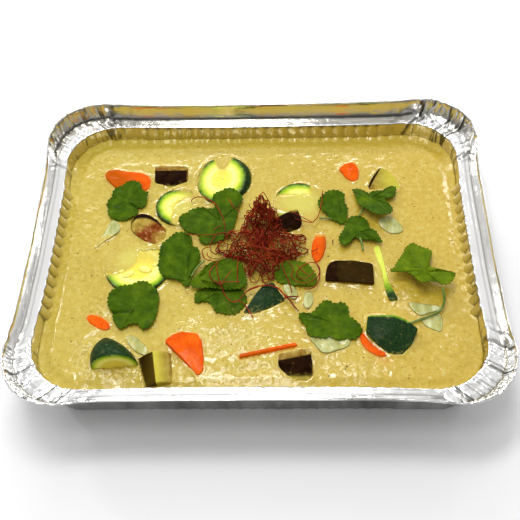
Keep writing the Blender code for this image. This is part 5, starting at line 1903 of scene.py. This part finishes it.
def thread_curve(lines):
    """One curve that holds every thread, each with a round section."""
    data = bpy.data.curves.new("threads", "CURVE")
    data.dimensions = "3D"
    data.bevel_depth = THREAD_WIDTH / 2 * MM
    data.bevel_resolution = 0
    data.use_fill_caps = True
    data.resolution_u = 1
    for line, width in lines:
        spline = data.splines.new("POLY")
        spline.points.add(len(line) - 1)
        for index, (knot, point) in enumerate(zip(spline.points, line)):
            taper = min(1.0, 0.45 + 0.25 * min(index, len(line) - 1 - index))
            knot.co = (point.x * MM, point.y * MM, (LEVEL + point.z) * MM, 1)
            knot.radius = width * taper
    return data

holder = bpy.data.objects.new("threads_curve", thread_curve(lines))
bpy.context.scene.collection.objects.link(holder)
ready = holder.evaluated_get(bpy.context.evaluated_depsgraph_get())
mesh = bpy.data.meshes.new_from_object(ready)
bpy.data.objects.remove(holder)
mesh.shade_smooth()
threads = bpy.data.objects.new("chilli_thread_nest", mesh)
bpy.context.scene.collection.objects.link(threads)
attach(threads, "root")
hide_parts("chilli_threads")
print("thread faces:", len(mesh.polygons))

# %% Chilli material
chilli, mix, shader = new_material("chilli_thread")
skin = mix.ramped(mix.noise(mix.place(), 170, 4, 0.65), (
    (0.3, (0.11, 0.008, 0.002)), (0.5, (0.25, 0.018, 0.003)), (0.7, (0.47, 0.055, 0.008)),
))
dull = mix.noise(mix.place(), 900, 2)
mix.feed(shader.inputs["Base Color"], skin)
mix.feed(shader.inputs["Roughness"], mix.ranged(dull, 0.3, 0.7, 0.38, 0.6))
mix.feed(shader.inputs["Normal"], mix.bumped(dull, 0.00006))
glossed(shader, 0.15)
threads.data.materials.append(chilli)

# %% [markdown]
# ## The dark core
# Between real threads it is dark, because many more lie below. Growing those would show nothing,
# so a small lumpy mound of the same colour stands in for them.

# %% The dark core under the threads
bm = bmesh.new()
bmesh.ops.create_uvsphere(bm, u_segments=40, v_segments=20, radius=1.0)
for vertex in bm.verts:
    out = vertex.co.copy()
    x, y = NEST_CENTRE.x + out.x * 4.2, NEST_CENTRE.y + 3 + out.y * 3.8
    lump = 1 + 0.25 * noise.noise(out * 3)
    thick = 0.12 * nest_height(x, y) if out.z > 0 else 1.2
    vertex.co = Vector((x, y, LEVEL + (2.2 + out.z * thick) * lump)) * MM
bmesh.ops.recalc_face_normals(bm, faces=bm.faces)
core = plain_object("chilli_core", bm)
core.data.materials.append(chilli)
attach(core, "root")
print("core faces:", len(core.data.polygons))

# %% [markdown]
# ## Spice in the sauce
# Ground spice and bits of herb stay in the sauce as specks a quarter of a millimetre across. They
# could be painted on, but real specks catch the light and sit in the cream. Each is a
# twenty-sided ball, flattened and half sunk. Three kinds are made: brown, red and dark.

# %% Specks
SPECKLED = (100, 75, 22)  # half the width, half the depth and the corner of what holds specks

def specks(name, count, smallest, largest, stops, seed):
    """Scatters flattened balls over the open sauce, all in one piece."""
    maker = random.Random(seed)
    bm = bmesh.new()
    made = 0
    while made < count:
        x, y = maker.uniform(-99, 99), maker.uniform(-74, 74)
        if rounded_distance(x, y, *SPECKLED) > 0 or piece_top(x, y) is not None:
            continue
        size = smallest + (largest - smallest) * maker.random() ** 2
        ball = bmesh.ops.create_icosphere(bm, subdivisions=1, radius=size)["verts"]
        shape = (
            Matrix.Translation((x, y, LEVEL + sauce_height(x, y) - 0.2 * size))
            @ Matrix.Rotation(maker.uniform(0, math.pi), 4, "Z")
            @ Matrix.Diagonal((maker.uniform(0.8, 1.6), 0.8, 0.6, 1))
        )
        bmesh.ops.transform(bm, matrix=Matrix.Scale(MM, 4) @ shape, verts=ball)
        made += 1
    piece = plain_object(name, bm)
    material, mix, shader = new_material(name)
    mix.feed(shader.inputs["Base Color"], mix.ramped(mix.noise(mix.place(), 60), stops))
    shader.inputs["Roughness"].default_value = 0.5
    glossed(shader, 0.2)
    piece.data.materials.append(material)
    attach(piece, "root")
    print(name, "specks:", made)

specks("spice_brown", 1000, 0.14, 0.50, ((0.35, (0.30, 0.15, 0.015)), (0.65, (0.50, 0.30, 0.03))), 3)
specks("spice_red", 330, 0.14, 0.46, ((0.35, (0.50, 0.13, 0.012)), (0.65, (0.62, 0.26, 0.02))), 4)
specks("spice_dark", 100, 0.18, 0.55, ((0.35, (0.035, 0.022, 0.008)), (0.65, (0.16, 0.09, 0.02))), 5)
